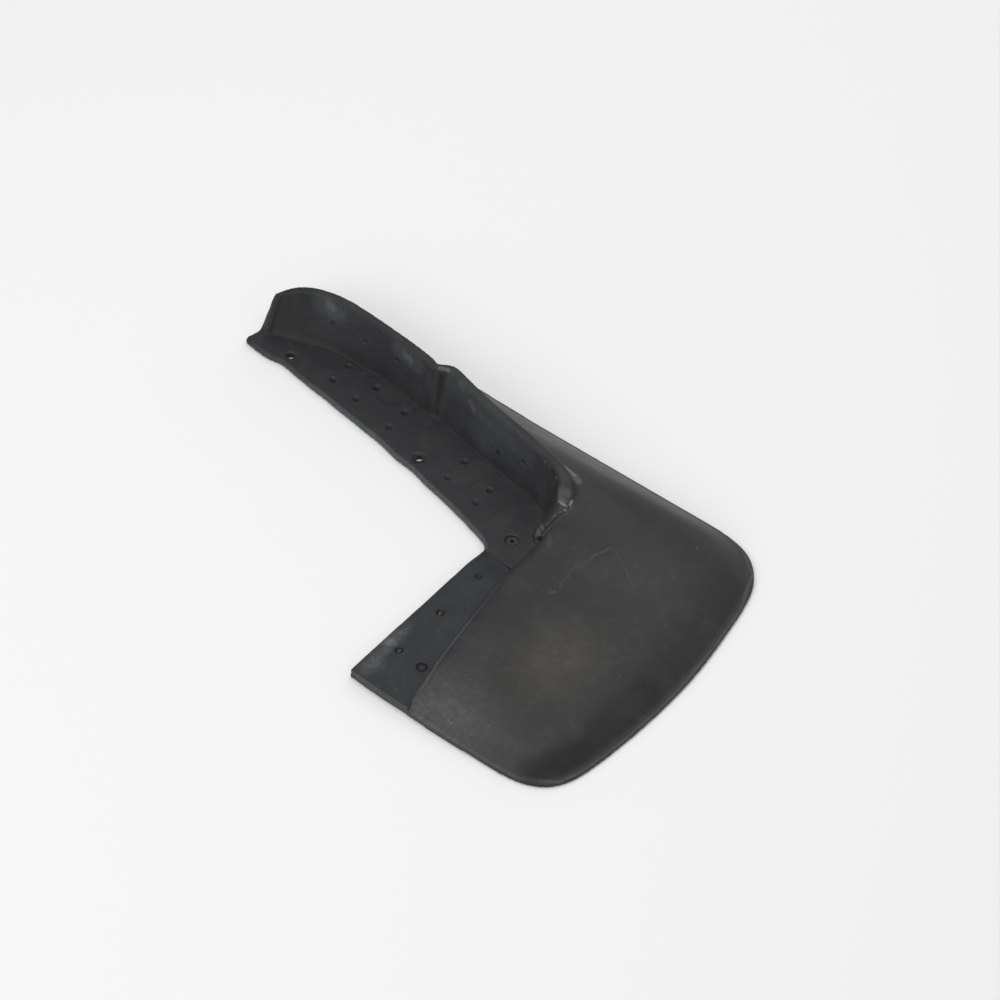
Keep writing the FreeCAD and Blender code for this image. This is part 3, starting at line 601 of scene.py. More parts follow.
def wall_section(row):
    """Closed section: up the inner face, over the rim, down the outer face."""
    foot_x, foot_y, inner_x, inner_y, outer_x, outer_y, top_z = row
    foot = np.array([foot_x, foot_y, PLATE_T])
    inner = np.array([inner_x, inner_y, top_z])
    across = np.array([outer_x, outer_y, top_z]) - inner
    width = np.linalg.norm(across)
    across = across / width
    bead = across * WALL_BEAD * smooth01((foot_y - BEAD_Y) / BEAD_FADE)
    section = []
    for s in WALL_STEPS:
        p = foot + (inner - foot) * s
        fillet = WALL_FILLET * math.exp(-max(0.0, p[2] - PLATE_T) / FILLET_FADE)
        bow = WALL_BOW * math.sin(math.pi * min(1.0, max(0.0, s)))
        section.append(p - across * fillet + across * bow - bead)
    # the rim's inner corner is well rounded, the outer one tighter
    r = min(2.6, width * 0.4)
    for a in np.linspace(0, math.pi / 2, 7):
        section.append(inner + across * (r - r * math.cos(a)) - bead * (1 - a / 1.6)
                       + np.array([0, 0, -r * 0.72 + r * 0.72 * math.sin(a)]))
    r = 1.0
    for a in np.linspace(math.pi / 2, math.pi, 4):
        section.append(inner + across * (width - r - r * math.cos(a))
                       + np.array([0, 0, -r + r * math.sin(a)]))
    for s in WALL_STEPS[::-1]:
        section.append(foot + (inner - foot) * s + across * width)
    return section


def leaning_wall():
    sections = [wall_section(row) for row in relaxed(catmull(STATIONS, 1.1), 5)]
    n, m = len(sections), len(sections[0])
    verts = np.array(sections).reshape(-1, 3)
    verts[:, 2] = np.maximum(verts[:, 2], 0.0)
    faces = []
    for i in range(n - 1):
        for j in range(m):
            a, b = i * m + j, i * m + (j + 1) % m
            faces.append((a, b, b + m, a + m))
    faces.append(tuple(range(m - 1, -1, -1)))
    faces.append(tuple((n - 1) * m + j for j in range(m)))
    return verts, faces


def end_web():
    verts = np.array([(x, y, z) for y in WEB_Y for x, z in WEB_SECTION])
    n = len(WEB_SECTION)
    faces = [tuple(range(n)), tuple(range(2 * n - 1, n - 1, -1))]
    faces += [(k, k + n, (k + 1) % n + n, (k + 1) % n) for k in range(n)]
    return verts, faces


# ==================== rubber skin ====================
def polish_pillow(skin):
    """Smooth the broad pillow surface much further than its edges."""
    co = coords(skin)
    on_top = (co[:, 2] > 6.0) & inside_poly(co[:, :2], PILLOW_PLAN)
    idx = np.where(on_top)[0]
    z, _, rim_distance, inset = pillow(co[idx, :2])
    near_top = smooth01((3.2 - np.abs(co[idx, 2] - z)) / 1.0)
    weight = np.zeros(len(co))
    weight[idx] = near_top * smooth01((rim_distance - 3.5) / 4.0) * smooth01((inset - 2.0) / 3.0)
    laplace(skin, weight, POLISH_PASSES)


def press_pit(co, nrm, centre, r, depth, soft):
    """Press a round pit into the surface around centre, along the local normal."""
    offset = co - np.array(centre)
    idx = np.where((offset ** 2).sum(1) < (r + 2.5) ** 2)[0]
    core = idx[(offset[idx] ** 2).sum(1) < (r * 0.8) ** 2]
    n = nrm[core if len(core) else idx].mean(0)
    n /= np.linalg.norm(n)
    idx = idx[nrm[idx] @ n > 0.6]
    q = co[idx] - np.array(centre)
    in_plane = q - np.outer(q @ n, n)
    d = np.sqrt((in_plane ** 2).sum(1))
    co[idx] -= (depth * smooth01((r + soft / 2 - d) / soft))[:, None] * n


def press_skin_marks(skin):
    co, nrm = coords(skin), vertex_values(skin, "normal")
    for x, y, r in PLATE_DIMPLES:
        press_pit(co, nrm, (x, y, PLATE_T), r, depth=0.95, soft=1.5)
    # shallow round recess about the middle hole
    d = np.hypot(co[:, 0] - HOLES[1][0], co[:, 1] - HOLES[1][1])
    near = (d < 7.5) & (co[:, 2] > 3.0)
    co[near, 2] -= 0.45 * smooth01((7.2 - d[near]) / 2.6)
    for x, y, z, r in WALL_PITS:
        press_pit(co, nrm, (x, y, z), r, depth=0.75, soft=1.4)
    set_coords(skin, co)


def build_skin():
    skin = merged_object("rubber_skin", [
        slab(PILLOW_PLAN, 1.7, shell_top, shell_bottom), arm_flange(), leaning_wall(), end_web(),
        slab(POCKET, 2.0, flat(POCKET_Z[1]), flat(POCKET_Z[0]))])
    fuse(skin, SKIN_VOXEL)
    polish_pillow(skin)
    press_skin_marks(skin)
    return skin


# ==================== leg plate ====================
def leg_top(points):
    """The plate runs down to the arm flange at its root."""
    return LEG_TOP - 2.7 * smooth01((points[:, 0] + 44.0) / 21.0)


def press_leg_marks(leg):
    co = coords(leg)
    top = np.abs(co[:, 2] - leg_top(co)) < 0.7
    recesses = [(*rivet, 3.1, 1.5) for rivet in RIVETS] + [(*LEG_DIMPLE, 3.0, 1.0)]
    for x, y, r, depth in recesses:
        d = np.hypot(co[:, 0] - x, co[:, 1] - y)
        near = top & (d < r + 1.2)
        d = d[near]
        raised_lip = 0.12 * np.exp(-((d - r - 0.6) / 0.4) ** 2)
        co[near, 2] -= depth * smooth01((r + 0.3 - d) / 0.6) - raised_lip
    # ring groove with a slightly sunken middle
    d = np.hypot(co[:, 0] - LEG_RING[0], co[:, 1] - LEG_RING[1])
    near = top & (d < 6)
    d = d[near]
    groove = 0.9 * np.exp(-((d - LEG_RING_R) / 0.7) ** 2)
    co[near, 2] -= groove + 0.25 * smooth01((3.6 - d) / 0.8)
    set_coords(leg, co)


def build_leg():
    step = 1.5
    crease = [tuple(q) for q in catmull(LEG_CREASE, 2.0)]
    poly = []
    for line in (LEG_END, crease, LEG_ROOT, LEG_EDGE):
        poly += dense(line, step)[:-1]
    leg = merged_object("leg_plate_skin", [
        slab(poly, 2.0, leg_top, flat(LEG_UNDERSIDE),
             holes=[(x, y, RIVET_HOLE_R) for x, y in RIVETS]),
        slab(LEG_SKIRT, 1.5, flat(SKIRT_Z[1]), flat(SKIRT_Z[0]))])
    fuse(leg, LEG_VOXEL)
    press_leg_marks(leg)
    return leg


# ==================== painted wear, painted shade and painted highlights ===
# Each mark: channel, strength, half width, fade, then the points x, y, z of its path.
DARK, PALE, POLISH = 0, 1, 2  # red darkens, green pales, blue polishes
FOOT = [(q[0], q[1], PLATE_T) for q in STATIONS[:-3]]
SKIN_MARKS = [
    # painted shade in the wall's foot and along its jog, and a painted highlight on top of the jog
    (DARK, 0.33, 0.8, 3.0, FOOT),
    (DARK, 0.40, 0.3, 1.6, [q for q in FOOT if 20.0 < q[1] < 122.0]),
    (DARK, 0.30, 1.0, 3.0, [(76.2, 131.3, 39.4), (72.6, 130.7, 27.8), (68.6, 129.6, 16.9),
                            (64.4, 127.3, 8)]),
    (PALE, 0.42, 0.8, 1.4, [(78.4, 135.1, 45.4), (80.9, 128.9, 45.1)]),
    # paler bead at the arm's free end, and a paler side face along the arm's -X edge
    (PALE, 0.20, 1.2, 2.4, [(70, 298.9, 33), (62, 300, 22), (54, 300.6, 11)]),
    (PALE, 0.11, 2.6, 0.8, [(x, y, PLATE_T / 2) for x, y in ARM_INNER if y > 228.0]),
    (PALE, 0.25, 2.6, 0.9, [(x, y, PLATE_T / 2) for x, y in ARM_INNER if y < 232.0]),
    # painted highlight along the rim's +X edge, widening towards the corner
    (PALE, 0.50, 0.2, 1.1, [(79.5, 60, 44), (71.5, 45, 44.6), (67, 28.3, 44.6),
                            (63, 10.8, 44.5), (60, -1.4, 43.6)]),
    (PALE, 0.70, 0.5, 1.9, [(60.6, 6, 43), (59.3, -9, 40.6), (57.9, -15, 39.7)]),
    (PALE, 0.34, 1.0, 3.4, [(57.9, -15, 39.7), (55.8, -21, 38.9)]),
    # corner return: polished facet with painted highlights and glints, painted shade in the hollow, painted highlight
    # and shade at the torn step, a painted highlight streak below it, and dust specks on the rim
    (PALE, 0.20, 1.2, 4.0, [(40.7, -13.8, 35.8), (41.6, -18, 36.7), (42.2, -21, 36.6)]),
    (PALE, 0.85, 0.4, 0.9, [(39, -11.3, 30.5), (35.6, -19.8, 30.5), (36.1, -25.3, 29.8)]),
    (PALE, 0.9, 0.6, 0.8, [(38.4, -26.2, 30.4), (40.9, -26.3, 32.7)]),
    (PALE, 0.9, 0.6, 0.9, [(34.1, -24.9, 27.4)]),
    (PALE, 0.34, 0.1, 0.8, [(32.8, -24, 26.6), (30.6, -22.3, 25.1)]),
    (PALE, 0.30, 0.1, 0.8, [(28.4, -20.7, 23.6), (26.6, -19.3, 22.3)]),
    (POLISH, 0.9, 2.0, 2.0, [(39, -11.3, 31), (37.6, -26.3, 30)]),
    (DARK, 0.45, 2.6, 3.0, [(32.6, -16, 28), (27.3, -14.7, 22.7), (22.5, -13.6, 18.5)]),
    (PALE, 0.18, 1.8, 2.6, [(17.6, -14.4, 15.2), (12.4, -14.7, 11.6)]),
    (DARK, 0.75, 0.2, 0.7, [(20.1, -14.5, 17.2), (17.9, -19.3, 15.4)]),
    (DARK, 0.70, 0.2, 0.7, [(17.6, -12.6, 14.8), (14.6, -18, 13)]),
    (DARK, 0.62, 0.8, 1.8, [(10.2, -16.5, 10), (9.8, -20.5, 11.4)]),
    (PALE, 0.08, 0.5, 3.0, [(7.2, -31, 15.1), (10.7, -27.8, 15.2), (15.6, -23.6, 14.9)]),
    (PALE, 0.35, 0.5, 1.0, [(53.5, 10.1, 41.6)]), (PALE, 0.35, 0.5, 1.0, [(52, 4.9, 40.7)]),
    (DARK, 0.5, 0.6, 1.0, [(50.3, -0.4, 40.1)]), (PALE, 0.3, 0.4, 1.0, [(48, -5.1, 38.4)]),
    # chalky smudges on the wall, a hand-worn dark patch on the flange
    (PALE, 0.34, 0.5, 7.0, [(82, 254, 38.8), (82.5, 249.7, 37.5)]),
    (PALE, 0.12, 2.5, 9.0, [(80.9, 261, 38), (82.9, 243, 36)]),
    (PALE, 0.32, 0.5, 6.0, [(78.7, 171.5, 36.6), (77.6, 164.7, 36)]),
    (PALE, 0.12, 2.5, 8.0, [(79.6, 180, 37), (76.8, 156.7, 35.4)]),
    (PALE, 0.20, 0.5, 5.5, [(77.1, 113.7, 42.1), (75.3, 109.2, 40.8)]),
    (PALE, 0.20, 0.5, 5.5, [(71, 98.8, 36.3), (68.8, 92.9, 34)]),
    (PALE, 0.07, 4.0, 9.0, [(77.6, 120, 38.5), (71.6, 99.2, 38.9), (65.6, 73.8, 38.2),
                            (60.2, 49.6, 36.9), (55.6, 28.1, 35.6)]),
    (DARK, 0.17, 0.5, 2.4, [(51.1, 178.4, 5), (51.3, 169.3, 5), (56, 161.8, 5)]),
    # painted highlight along the crease beside the leg
    (PALE, 0.26, 0.2, 0.9, [(-44, -23.3, 10.3), (-84, -28.8, 10.5), (-110, -32, 10.6),
                            (-132, -35.3, 10.6), (-156, -41, 10.8), (-180, -46.2, 10.8)]),
    # tool marks and scratches on the pillow
    (PALE, 0.11, 0.1, 1.0, [(-24.6, -66, 16.1), (-19, -62.6, 16.2), (-9.5, -63, 16.6),
                            (-4, -60.4, 17), (2, -62.7, 17.6), (11.2, -67.1, 19.4)]),
    (PALE, 0.20, 0.1, 1.2, [(11.2, -67.1, 19.4), (16, -67.2, 20.6), (20.2, -69.8, 21.5),
                            (27.6, -73.6, 23.4)]),
    (PALE, 0.07, 0.1, 0.9, [(28.4, -74.9, 23.6), (27.9, -79.8, 23.3), (24.9, -84.2, 23.1),
                            (21.4, -88.6, 22.6), (18.9, -95.8, 21.8), (13.6, -102.4, 21.2),
                            (7.9, -112.7, 20.4)]),
    (PALE, 0.20, 0.3, 1.6, [(-30.4, -61.7, 15.6), (-27.8, -64.6, 15.9)]),
    (PALE, 0.55, 0.3, 0.9, [(69.9, -125.1, 22.3)]), (PALE, 0.5, 0.2, 0.8, [(-172.5, -79.5, 9.9)]),
    (PALE, 0.5, 0.2, 0.8, [(-171.6, -93, 10.2)]), (PALE, 0.13, 0.2, 1.2, [(50.4, -35.6, 34.4)]),
    (PALE, 0.13, 0.2, 1.2, [(45.5, -40.3, 31.6)]), (PALE, 0.10, 0.2, 1.4, [(41.2, -51.5, 28.1)]),
    # the blade's lip, painted paler
    (PALE, 0.17, 0.5, 1.5, [
        (-180.5, -50, 6.4), (-181, -90, 6), (-180.4, -120, 4.6), (-178, -147, 3.4),
        (-162, -172.5, 3.1), (-143, -180, 3.1), (-119, -184, 3), (-93, -186.8, 3),
        (-66, -188.5, 3), (-37, -189, 3), (14, -185, 3), (55, -178.5, 3), (89, -165, 3),
        (104, -145, 3.1), (108.5, -120, 3.4)]),
    # painted shade on the roll at the -X, -Y corner and along the -Y edge
    (DARK, 0.30, 4.0, 12.0, [(-168, -150, 6), (-158, -158, 9), (-146, -166, 9),
                             (-125, -172, 9)]),
    (DARK, 0.20, 5.0, 16.0, [(-110, -170, 8), (-84, -172, 8), (-60, -173, 8)]),
    # broad shading on the wall's free end and on the pillow's +X side
    (DARK, 0.24, 8.0, 24.0, [(76, 278, 32), (70, 280, 15)]),
    (DARK, 0.18, 10.0, 40.0, [(40, -60, 28), (84, -80, 26), (84, -120, 20)]),
]
# painted shade in the flange's dimples and the wall's pits
SKIN_MARKS += [(DARK, 0.34, r * 0.5, 2.0, [(x, y, PLATE_T - 0.8)]) for x, y, r in PLATE_DIMPLES]
SKIN_MARKS += [(DARK, 0.42, r * 0.6, 1.9, [(x, y, z - 1.0), (x, y, z + 1.2)])
               for x, y, z, r in WALL_PITS]
LEG_MARKS = [
    # painted highlights on the -X end's top edge, on its end face and along the +Y edge
    (PALE, 0.30, 0.2, 0.8, [(-178.8, 11.4, 8), (-179.3, 8.6, 8), (-180.3, -6.5, 8),
                            (-181, -30, 8.2), (-180.9, -45, 8.2)]),
    (PALE, 0.17, 2.6, 1.2, [(-179.4, 10, 4.2), (-180.3, -6.5, 4.2), (-181.2, -45, 4.2)]),
    (PALE, 0.14, 0.1, 0.8, [(-177, 11.6, 8), (-100, 10.9, 8), (-24, 10.3, 5.5)]),
    # painted shade in the root seam, the inner corner and along the crease
    (DARK, 0.14, 0.2, 1.0, [(-23.4, 8.9, 5.5), (-23.6, -6, 5.5), (-26, -20, 5.4)]),
    (DARK, 0.26, 0.8, 2.4, [(-24.6, 9, 5.6), (-24.8, 5, 5.6)]),
    (DARK, 0.30, 0.2, 1.6, [(-44, -21.6, 8.2), (-84, -27, 8.2), (-132, -33.6, 8.2),
                            (-180, -44.6, 8.2)]),
    # painted shade inside the ring and in the dimple
    (DARK, 0.22, 3.2, 1.0, [(*LEG_RING, 7.6)]),
    (DARK, 0.45, 1.8, 1.8, [(*LEG_DIMPLE, 6.8)]),
]
# painted shade in the ring groove
for angle in np.linspace(0, 2 * math.pi, 13)[:-1]:
    LEG_MARKS.append((DARK, 0.8, 0.5, 1.2, [(LEG_RING[0] + LEG_RING_R * math.cos(angle),
                                             LEG_RING[1] + LEG_RING_R * math.sin(angle), 7.6)]))


def path_distance(co, path):
    if len(path) == 1:
        return np.sqrt(((co - path[0]) ** 2).sum(1))
    best = np.full(len(co), 1e9)
    for a, b in zip(path[:-1], path[1:]):
        ab = b - a
        t = np.clip(((co - a) @ ab) / (ab @ ab), 0, 1)
        best = np.minimum(best, np.sqrt(((co - a - t[:, None] * ab) ** 2).sum(1)))
    return best


def finish_surface(obj, marks):
    """Paint the wear, painted shade and painted highlights, shade smooth and keep the rest position for the textures.
    """
    co = coords(obj)
    wear_and_painted_light = np.zeros((len(co), 4))
    wear_and_painted_light[:, 3] = 1.0
    for channel, strength, width, fade, points in marks:
        path = np.array(points, float)
        low, high = path.min(0) - width - fade, path.max(0) + width + fade
        idx = np.where(((co >= low) & (co <= high)).all(1))[0]
        if len(idx) == 0:
            continue
        amount = strength * smooth01((width + fade - path_distance(co[idx], path)) / fade)
        wear_and_painted_light[idx, channel] = np.maximum(wear_and_painted_light[idx, channel], amount)
    attribute = obj.data.attributes.new("wear_and_painted_light", "FLOAT_COLOR", "POINT")
    attribute.data.foreach_set("color", wear_and_painted_light.astype(np.float32).ravel())
    obj.data.polygons.foreach_set("use_smooth", [True] * len(obj.data.polygons))
    attribute = obj.data.attributes.new("rest", "FLOAT_VECTOR", "POINT")
    attribute.data.foreach_set("vector", co.astype(np.float32).ravel() / MM_PER_M)


# ==================== materials ====================
class Shader:
    """A material with one Principled surface, and short makers for the nodes feeding it."""

    def __init__(self, name):
        self.material = bpy.data.materials.new(name)
        self.material.use_nodes = True
        self.tree = self.material.node_tree
        self.tree.nodes.clear()
        output = self.node("ShaderNodeOutputMaterial")
        self.surface = self.node("ShaderNodeBsdfPrincipled")
        self.tree.links.new(self.surface.outputs[0], output.inputs[0])

    def node(self, kind, **settings):
        node = self.tree.nodes.new(kind)
        for key, value in settings.items():
            setattr(node, key, value)
        return node

    def put(self, socket, value):
        if isinstance(value, bpy.types.NodeSocket):
            self.tree.links.new(value, socket)
        else:
            socket.default_value = value

    def fill(self, node, **values):
        """Set inputs by name, with _ for spaces."""
        for key, value in values.items():
            self.put(node.inputs[key.replace("_", " ")], value)
        return node

    def math(self, operation, a, b, clamp=False):
        node = self.node("ShaderNodeMath", operation=operation, use_clamp=clamp)
        self.put(node.inputs[0], a)
        self.put(node.inputs[1], b)
        return node.outputs[0]

    def add(self, a, b, clamp=False):
        return self.math("ADD", a, b, clamp)

    def sub(self, a, b, clamp=False):
        return self.math("SUBTRACT", a, b, clamp)

    def mul(self, a, b, clamp=False):
        return self.math("MULTIPLY", a, b, clamp)

    def attribute(self, name):
        return self.node("ShaderNodeAttribute", attribute_name=name).outputs

    def noise(self, vector, scale, detail, rough, distort=0.0):
        node = self.fill(self.node("ShaderNodeTexNoise"), Vector=vector, Scale=scale,
                         Detail=detail, Roughness=rough, Distortion=distort)
        return node.outputs["Fac"]

    def ramp(self, value, start, end, low=0.0, high=1.0):
        node = self.node("ShaderNodeMapRange", interpolation_type="SMOOTHSTEP")
        self.put(node.inputs["Value"], value)
        for key, number in (("From Min", start), ("From Max", end),
                            ("To Min", low), ("To Max", high)):
            node.inputs[key].default_value = number
        return node.outputs[0]

    def mix(self, share, a, b):
        node = self.node("ShaderNodeMix", data_type="RGBA")
        self.put(node.inputs[0], share)
        for socket, colour in ((node.inputs[6], a), (node.inputs[7], b)):
            is_rgb = isinstance(colour, tuple)
            self.put(socket, (*colour, 1.0) if is_rgb else colour)
        return node.outputs[2]

    def spot(self, vector, centre, radii):
        """Soft ellipsoid mask; centre and radii in mm."""
        for operation, numbers in (("SUBTRACT", centre), ("DIVIDE", radii)):
            node = self.node("ShaderNodeVectorMath", operation=operation)
            self.put(node.inputs[0], vector)
            self.put(node.inputs[1], tuple(v / MM_PER_M for v in numbers))
            vector = node.outputs[0]
        length = self.node("ShaderNodeVectorMath", operation="LENGTH")
        self.put(length.inputs[0], vector)
        return self.ramp(length.outputs[1], start=1.0, end=0.001)

    def bump(self, height, strength, distance, normal=None):
        node = self.fill(self.node("ShaderNodeBump"), Height=height, Strength=strength,
                         Distance=distance)
        if normal is not None:
            self.put(node.inputs["Normal"], normal)
        return node.outputs[0]


def tint(colour, factor):
    return tuple(min(1, c * factor) for c in colour)


# The flange's tone, and a lighter copy of it for the wall, whose extra lightness is painted light.
ARM_FLAT = (0.0130, 0.0132, 0.0150)
ARM_WALL_PAINTED_LIGHTER = (0.0162, 0.0164, 0.0184)
# colour of the darkened marks: mostly painted shade, with real dirt in a few
SHADE_AND_DIRT_TONE = (0.0045, 0.0045, 0.005)
# Pale patches: centre and radii in mm, colour, strength. The yellowish one is dust, the grey ones at the pillow's -X
# end and by the crease are painted highlights, the bluish ones on the wall a paler tone.
SKIN_PATCHES = [
    ((-82, -106, 16), (66, 50, 30), (0.20, 0.192, 0.145), 0.18),
    ((78, 250, 32), (12, 30, 12), (0.22, 0.24, 0.27), 0.05),
    ((60, 60, 24), (22, 60, 26), (0.16, 0.17, 0.20), 0.135),
    ((-176, -70, 12), (64, 84, 24), (0.18, 0.18, 0.18), 0.43),
    ((-120, -60, 12), (60, 26, 20), (0.17, 0.17, 0.17), 0.115)]
LEG_PATCHES = [
    ((-140, 6, 8), (32, 9, 8), (0.36, 0.40, 0.43), 0.38),
    ((-166, 2, 8), (17, 12, 8), (0.34, 0.37, 0.40), 0.19),
    ((-168, -20, 8), (22, 30, 8), (0.24, 0.25, 0.26), 0.07)]


def arm_zone(g, rest):
    """Mask of the arm and wall, and the height socket."""
    axes = g.node("ShaderNodeSeparateXYZ")
    g.put(axes.inputs[0], rest)
    x, y, z = axes.outputs
    from_corner = g.ramp(g.add(g.mul(x, -0.33), y), start=-0.030, end=-0.006)
    # leave out the pillow on the wall's +X side, below the rim's top
    beyond_wall = g.ramp(g.sub(x, g.mul(y, 0.26)), start=0.058, end=0.066)
    below_rim = g.ramp(z, start=0.046, end=0.0440)
    return g.mul(from_corner, g.sub(1.0, g.mul(beyond_wall, below_rim))), z


def rubber(name, base, dark, film, roughness, patches, patch_floor, patch_grain, chalk_and_highlight,
           arm_chalk_and_highlight=None):
    """Worn rubber or plastic, with the painted shade and painted highlights of the marks; the arm colour, when given,
    also turns on the cooler, darker arm and wall, the wall painted lighter than the flange.
    """
    g = Shader(name)
    rest = g.attribute("rest")["Vector"]
    big = g.noise(rest, scale=9.0, detail=3.0, rough=0.5, distort=0.4)
    mid = g.noise(rest, scale=45.0, detail=5.0, rough=0.6, distort=0.6)
    fine = g.noise(rest, scale=420.0, detail=3.0, rough=0.6)
    grain = g.noise(rest, scale=1500.0, detail=2.0, rough=0.5)

    colour = g.mix(g.ramp(big, start=0.35, end=0.7), tint(base, dark), tint(base, 1.12))
    if arm_chalk_and_highlight:
        arm, z = arm_zone(g, rest)
        # the wall above the flange gets the lighter copy of the flange's tone as painted light
        colour = g.mix(arm, colour, g.mix(g.ramp(z, start=0.008, end=0.016), ARM_FLAT, ARM_WALL_PAINTED_LIGHTER))
        chalk_and_highlight = g.mix(arm, chalk_and_highlight, arm_chalk_and_highlight)
    # pale flecks, then a broken film of grey dust
    colour = g.mix(g.mul(g.ramp(fine, start=0.5, end=0.78), 0.42), colour, tint(base, 1.8))
    colour = g.mix(g.mul(g.ramp(mid, start=0.42, end=0.75), 0.10), colour, film)

    # pale patches (dust, painted highlights and paler tone), each broken up by a soft and a sharp pattern
    breakup = g.ramp(g.noise(rest, scale=130.0, detail=6.0, rough=0.7, distort=1.2),
                     start=0.38, end=0.68)
    soft_break = g.ramp(mid, start=0.25, end=0.75, low=patch_floor)
    dust_and_highlight = None
    for centre, radii, patch_colour, strength in patches:
        mask = g.spot(rest, centre, radii)
        broken = g.add(g.mul(breakup, patch_grain), 1.0 - patch_grain)
        mask = g.mul(g.mul(mask, g.mul(soft_break, broken)), strength)
        colour = g.mix(mask, colour, patch_colour)
        dust_and_highlight = mask if dust_and_highlight is None else g.add(dust_and_highlight, mask, clamp=True)

    # painted wear, painted shade and painted highlights; pale marks are broken up by the same pattern as the pale
    # patches
    wear_and_painted_light = g.node("ShaderNodeSeparateColor")
    g.put(wear_and_painted_light.inputs[0], g.attribute("wear_and_painted_light")["Color"])
    darkened, paled, polished = wear_and_painted_light.outputs
    pale = g.mul(paled, g.add(g.mul(breakup, 0.45), 0.55), clamp=True)
    colour = g.mix(pale, colour, chalk_and_highlight)
    # darkened marks: painted shade, and dirt in a few
    dirt_and_shade = g.mul(darkened, g.add(g.mul(mid, 0.3), 0.8), clamp=True)
    colour = g.mix(dirt_and_shade, colour, SHADE_AND_DIRT_TONE)
    dust_and_highlight = g.add(dust_and_highlight, g.mul(pale, 0.5), clamp=True)

    # sparse pale grit
    cells = g.fill(g.node("ShaderNodeTexVoronoi"), Vector=rest, Scale=210.0)
    clusters = g.noise(rest, scale=55.0, detail=2.0, rough=0.55)
    grit = g.mul(g.ramp(cells.outputs["Distance"], start=0.16, end=0.05),
                 g.ramp(clusters, start=0.56, end=0.66))
    colour = g.mix(g.mul(grit, 0.16), colour, (0.30, 0.30, 0.30))

    # roughness varies with the noises, rises with the pale patches and pale marks and falls where polished
    rough = g.add(g.mul(big, 0.14), roughness - 0.07)
    rough = g.add(rough, g.mul(g.sub(mid, 0.5), 0.22))
    rough = g.add(rough, g.mul(dust_and_highlight, 0.5), clamp=True)
    rough = g.sub(rough, g.mul(polished, 0.26), clamp=True)
    # the darkened marks, painted shade and some dirt, take away most of the 0.34 specular level
    specular = g.mul(g.sub(1.0, g.mul(darkened, 0.9)), 0.34)
    normal = g.bump(grain, strength=0.22, distance=0.0003)
    normal = g.bump(fine, strength=0.16, distance=0.0012, normal=normal)
    normal = g.bump(mid, strength=0.10, distance=0.004, normal=normal)
    g.fill(g.surface, Base_Color=colour, Roughness=rough, Specular_IOR_Level=specular,
           Normal=normal)
    return g.material


def fitting(name, colour, roughness, metallic):
    """Mottled finish for the small fittings."""
    g = Shader(name)
    place = g.node("ShaderNodeTexCoord").outputs["Object"]
    mottle = g.noise(place, scale=300.0, detail=4.0, rough=0.6, distort=0.5)
    grain = g.noise(place, scale=1800.0, detail=2.0, rough=0.5)
    g.fill(g.surface, Metallic=metallic,
           Base_Color=g.mix(g.ramp(mottle, start=0.4, end=0.7), tint(colour, 0.7),
                            tint(colour, 1.25)),
           Roughness=g.add(g.mul(mottle, 0.3), roughness - 0.15, clamp=True),
           Normal=g.bump(grain, strength=0.15, distance=0.0002))
    return g.material


# Piece, material, colour, roughness, metallic.
FITTINGS = [
    ("leg_backing_strip", "black_painted_strip", (0.028, 0.028, 0.03), 0.45, 0.0),
    ("leg_rivets", "dull_zinc_rivet", (0.034, 0.034, 0.031), 0.24, 0.45),
    ("upper_hole_bush", "blackened_bush", (0.014, 0.014, 0.015), 0.5, 0.1),
    ("middle_hole_bush", "blackened_bush_b", (0.014, 0.014, 0.015), 0.5, 0.1),
    ("corner_hole_bush", "blackened_bush_c", (0.020, 0.020, 0.021), 0.45, 0.1)]


def set_material(obj, material):
    obj.data.materials.clear()
    obj.data.materials.append(material)


def dress(skin, leg):
    set_material(skin, rubber(
        "black_rubber_skin", base=(0.0200, 0.0196, 0.0198), dark=0.88, film=(0.11, 0.11, 0.11),
        roughness=0.47, patches=SKIN_PATCHES, patch_floor=0.68, patch_grain=0.48,
        chalk_and_highlight=(0.25, 0.25, 0.245), arm_chalk_and_highlight=(0.225, 0.245, 0.275)))
    set_material(leg, rubber(
        "leg_plate_plastic", base=(0.0128, 0.0133, 0.0150), dark=0.86, film=(0.10, 0.105, 0.11),
        roughness=0.50, patches=LEG_PATCHES, patch_floor=0.35, patch_grain=0.6,
        chalk_and_highlight=(0.235, 0.245, 0.255)))
    for piece, *finish in FITTINGS:
        set_material(frame["nodes"][piece], fitting(*finish))


# ==================== studio, metres ====================
CAM_AZ, CAM_EL = math.radians(-51.4), math.radians(48.0)
CAM_TARGET = Vector((0.0302148, 0.0359746, 0.0))
CAM_DISTANCE = 2.9296875
# Directions as the camera sees them: towards it, to its right, and away along the floor.
BACK = Vector((math.sin(CAM_AZ) * math.cos(CAM_EL), -math.cos(CAM_AZ) * math.cos(CAM_EL),
               math.sin(CAM_EL)))
RIGHT = Vector((math.cos(CAM_AZ), math.sin(CAM_AZ), 0))
AWAY = Vector((-BACK.x, -BACK.y, 0)).normalized()
# Square lights aimed at the origin: name, offset away, right and up, side, watts.
LIGHTS = [
    ("key_top", 0.2, -0.3, 2.5, 2.0, 24.0),
    ("back_right", 2.0, 1.3, 1.5, 1.6, 9.0),
    ("front_left", -1.7, -1.7, 1.7, 1.5, 21.0)]


def add_floor():
    g = Shader("studio_floor")
    g.fill(g.surface, Base_Color=(0.86, 0.86, 0.86, 1), Roughness=0.85, Specular_IOR_Level=0.15)
    bpy.ops.mesh.primitive_plane_add(size=12.0, location=(0, 0, -0.0004))
    floor = bpy.context.object
    floor.name = "studio_floor_plane"
    floor.data.materials.append(g.material)
    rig.stage(floor)


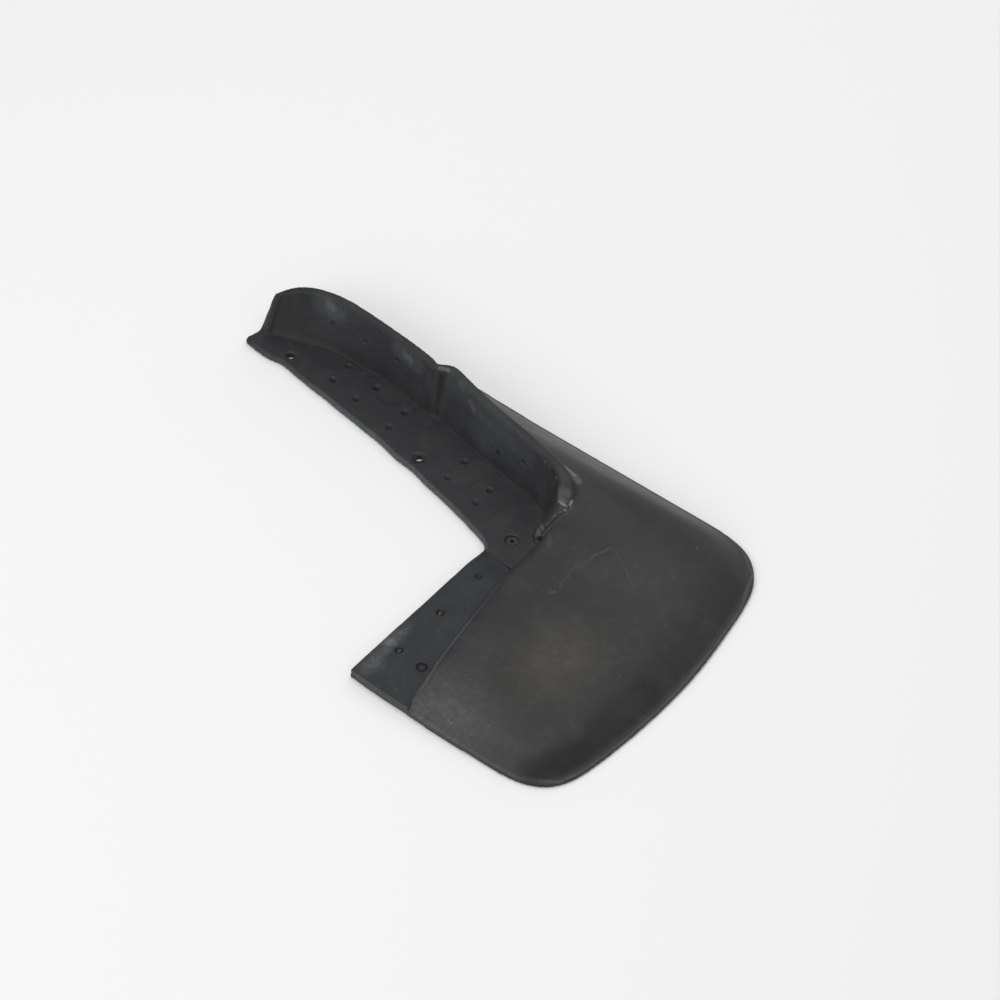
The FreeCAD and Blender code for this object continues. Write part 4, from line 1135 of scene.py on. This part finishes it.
def add_world():
    world = bpy.data.worlds.new("studio_world")
    bpy.context.scene.world = world
    world.use_nodes = True
    colour, strength = world.node_tree.nodes["Background"].inputs[:2]
    colour.default_value = (1.0, 1.0, 1.0, 1)
    strength.default_value = 0.56


def add_light(name, away, right, up, size, energy):
    light = bpy.data.lights.new(name, "AREA")
    light.shape = "RECTANGLE"
    light.size = light.size_y = size
    light.energy = energy
    obj = bpy.data.objects.new(name, light)
    bpy.context.scene.collection.objects.link(obj)
    place = AWAY * away + RIGHT * right + Vector((0, 0, up))
    obj.location = place
    obj.rotation_euler = (-place).to_track_quat("-Z", "Y").to_euler()
    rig.stage(obj)


def set_view():
    view = bpy.context.scene.view_settings
    view.view_transform = "Standard"
    view.look = "None"
    view.exposure = 0.0
    view.gamma = 1.0


def add_camera():
    data = bpy.data.cameras.new("photo_camera")
    data.lens = 135.0
    data.sensor_width = 36.0
    data.clip_end = 50.0
    camera = bpy.data.objects.new("photo_camera", data)
    bpy.context.scene.collection.objects.link(camera)
    camera.location = CAM_TARGET + BACK * CAM_DISTANCE
    camera.rotation_euler = (-BACK).to_track_quat("-Z", "Y").to_euler()
    bpy.context.scene.camera = camera


def plain(bounds):
    """Bounds in a form that JSON can hold."""
    return bounds if isinstance(bounds, dict) else [list(b) for b in bounds]


# ==================== assembly ====================
skin = build_skin()
leg = build_leg()
finish_surface(skin, SKIN_MARKS)
finish_surface(leg, LEG_MARKS)
dress(skin, leg)

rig.replaces(skin, "flap_body", "flap_blade")
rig.slot(skin, "black_rubber")
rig.blend(skin, "mounted_side", "blade", start=(0, -0.055, 0.02), end=(0, -0.135, 0.02))
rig.replaces(leg, "leg_plate")
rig.slot(leg, "leg_plastic")
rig.ride(leg, "mounted_side")

add_floor()
add_world()
for light_row in LIGHTS:
    add_light(*light_row)
set_view()
add_camera()

bpy.context.view_layer.update()
BOUNDS_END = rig.bounds()
try:
    with open("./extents.json", "w") as size_file:
        json.dump({"start": plain(BOUNDS_START), "end": plain(BOUNDS_END)}, size_file)
except OSError:
    pass
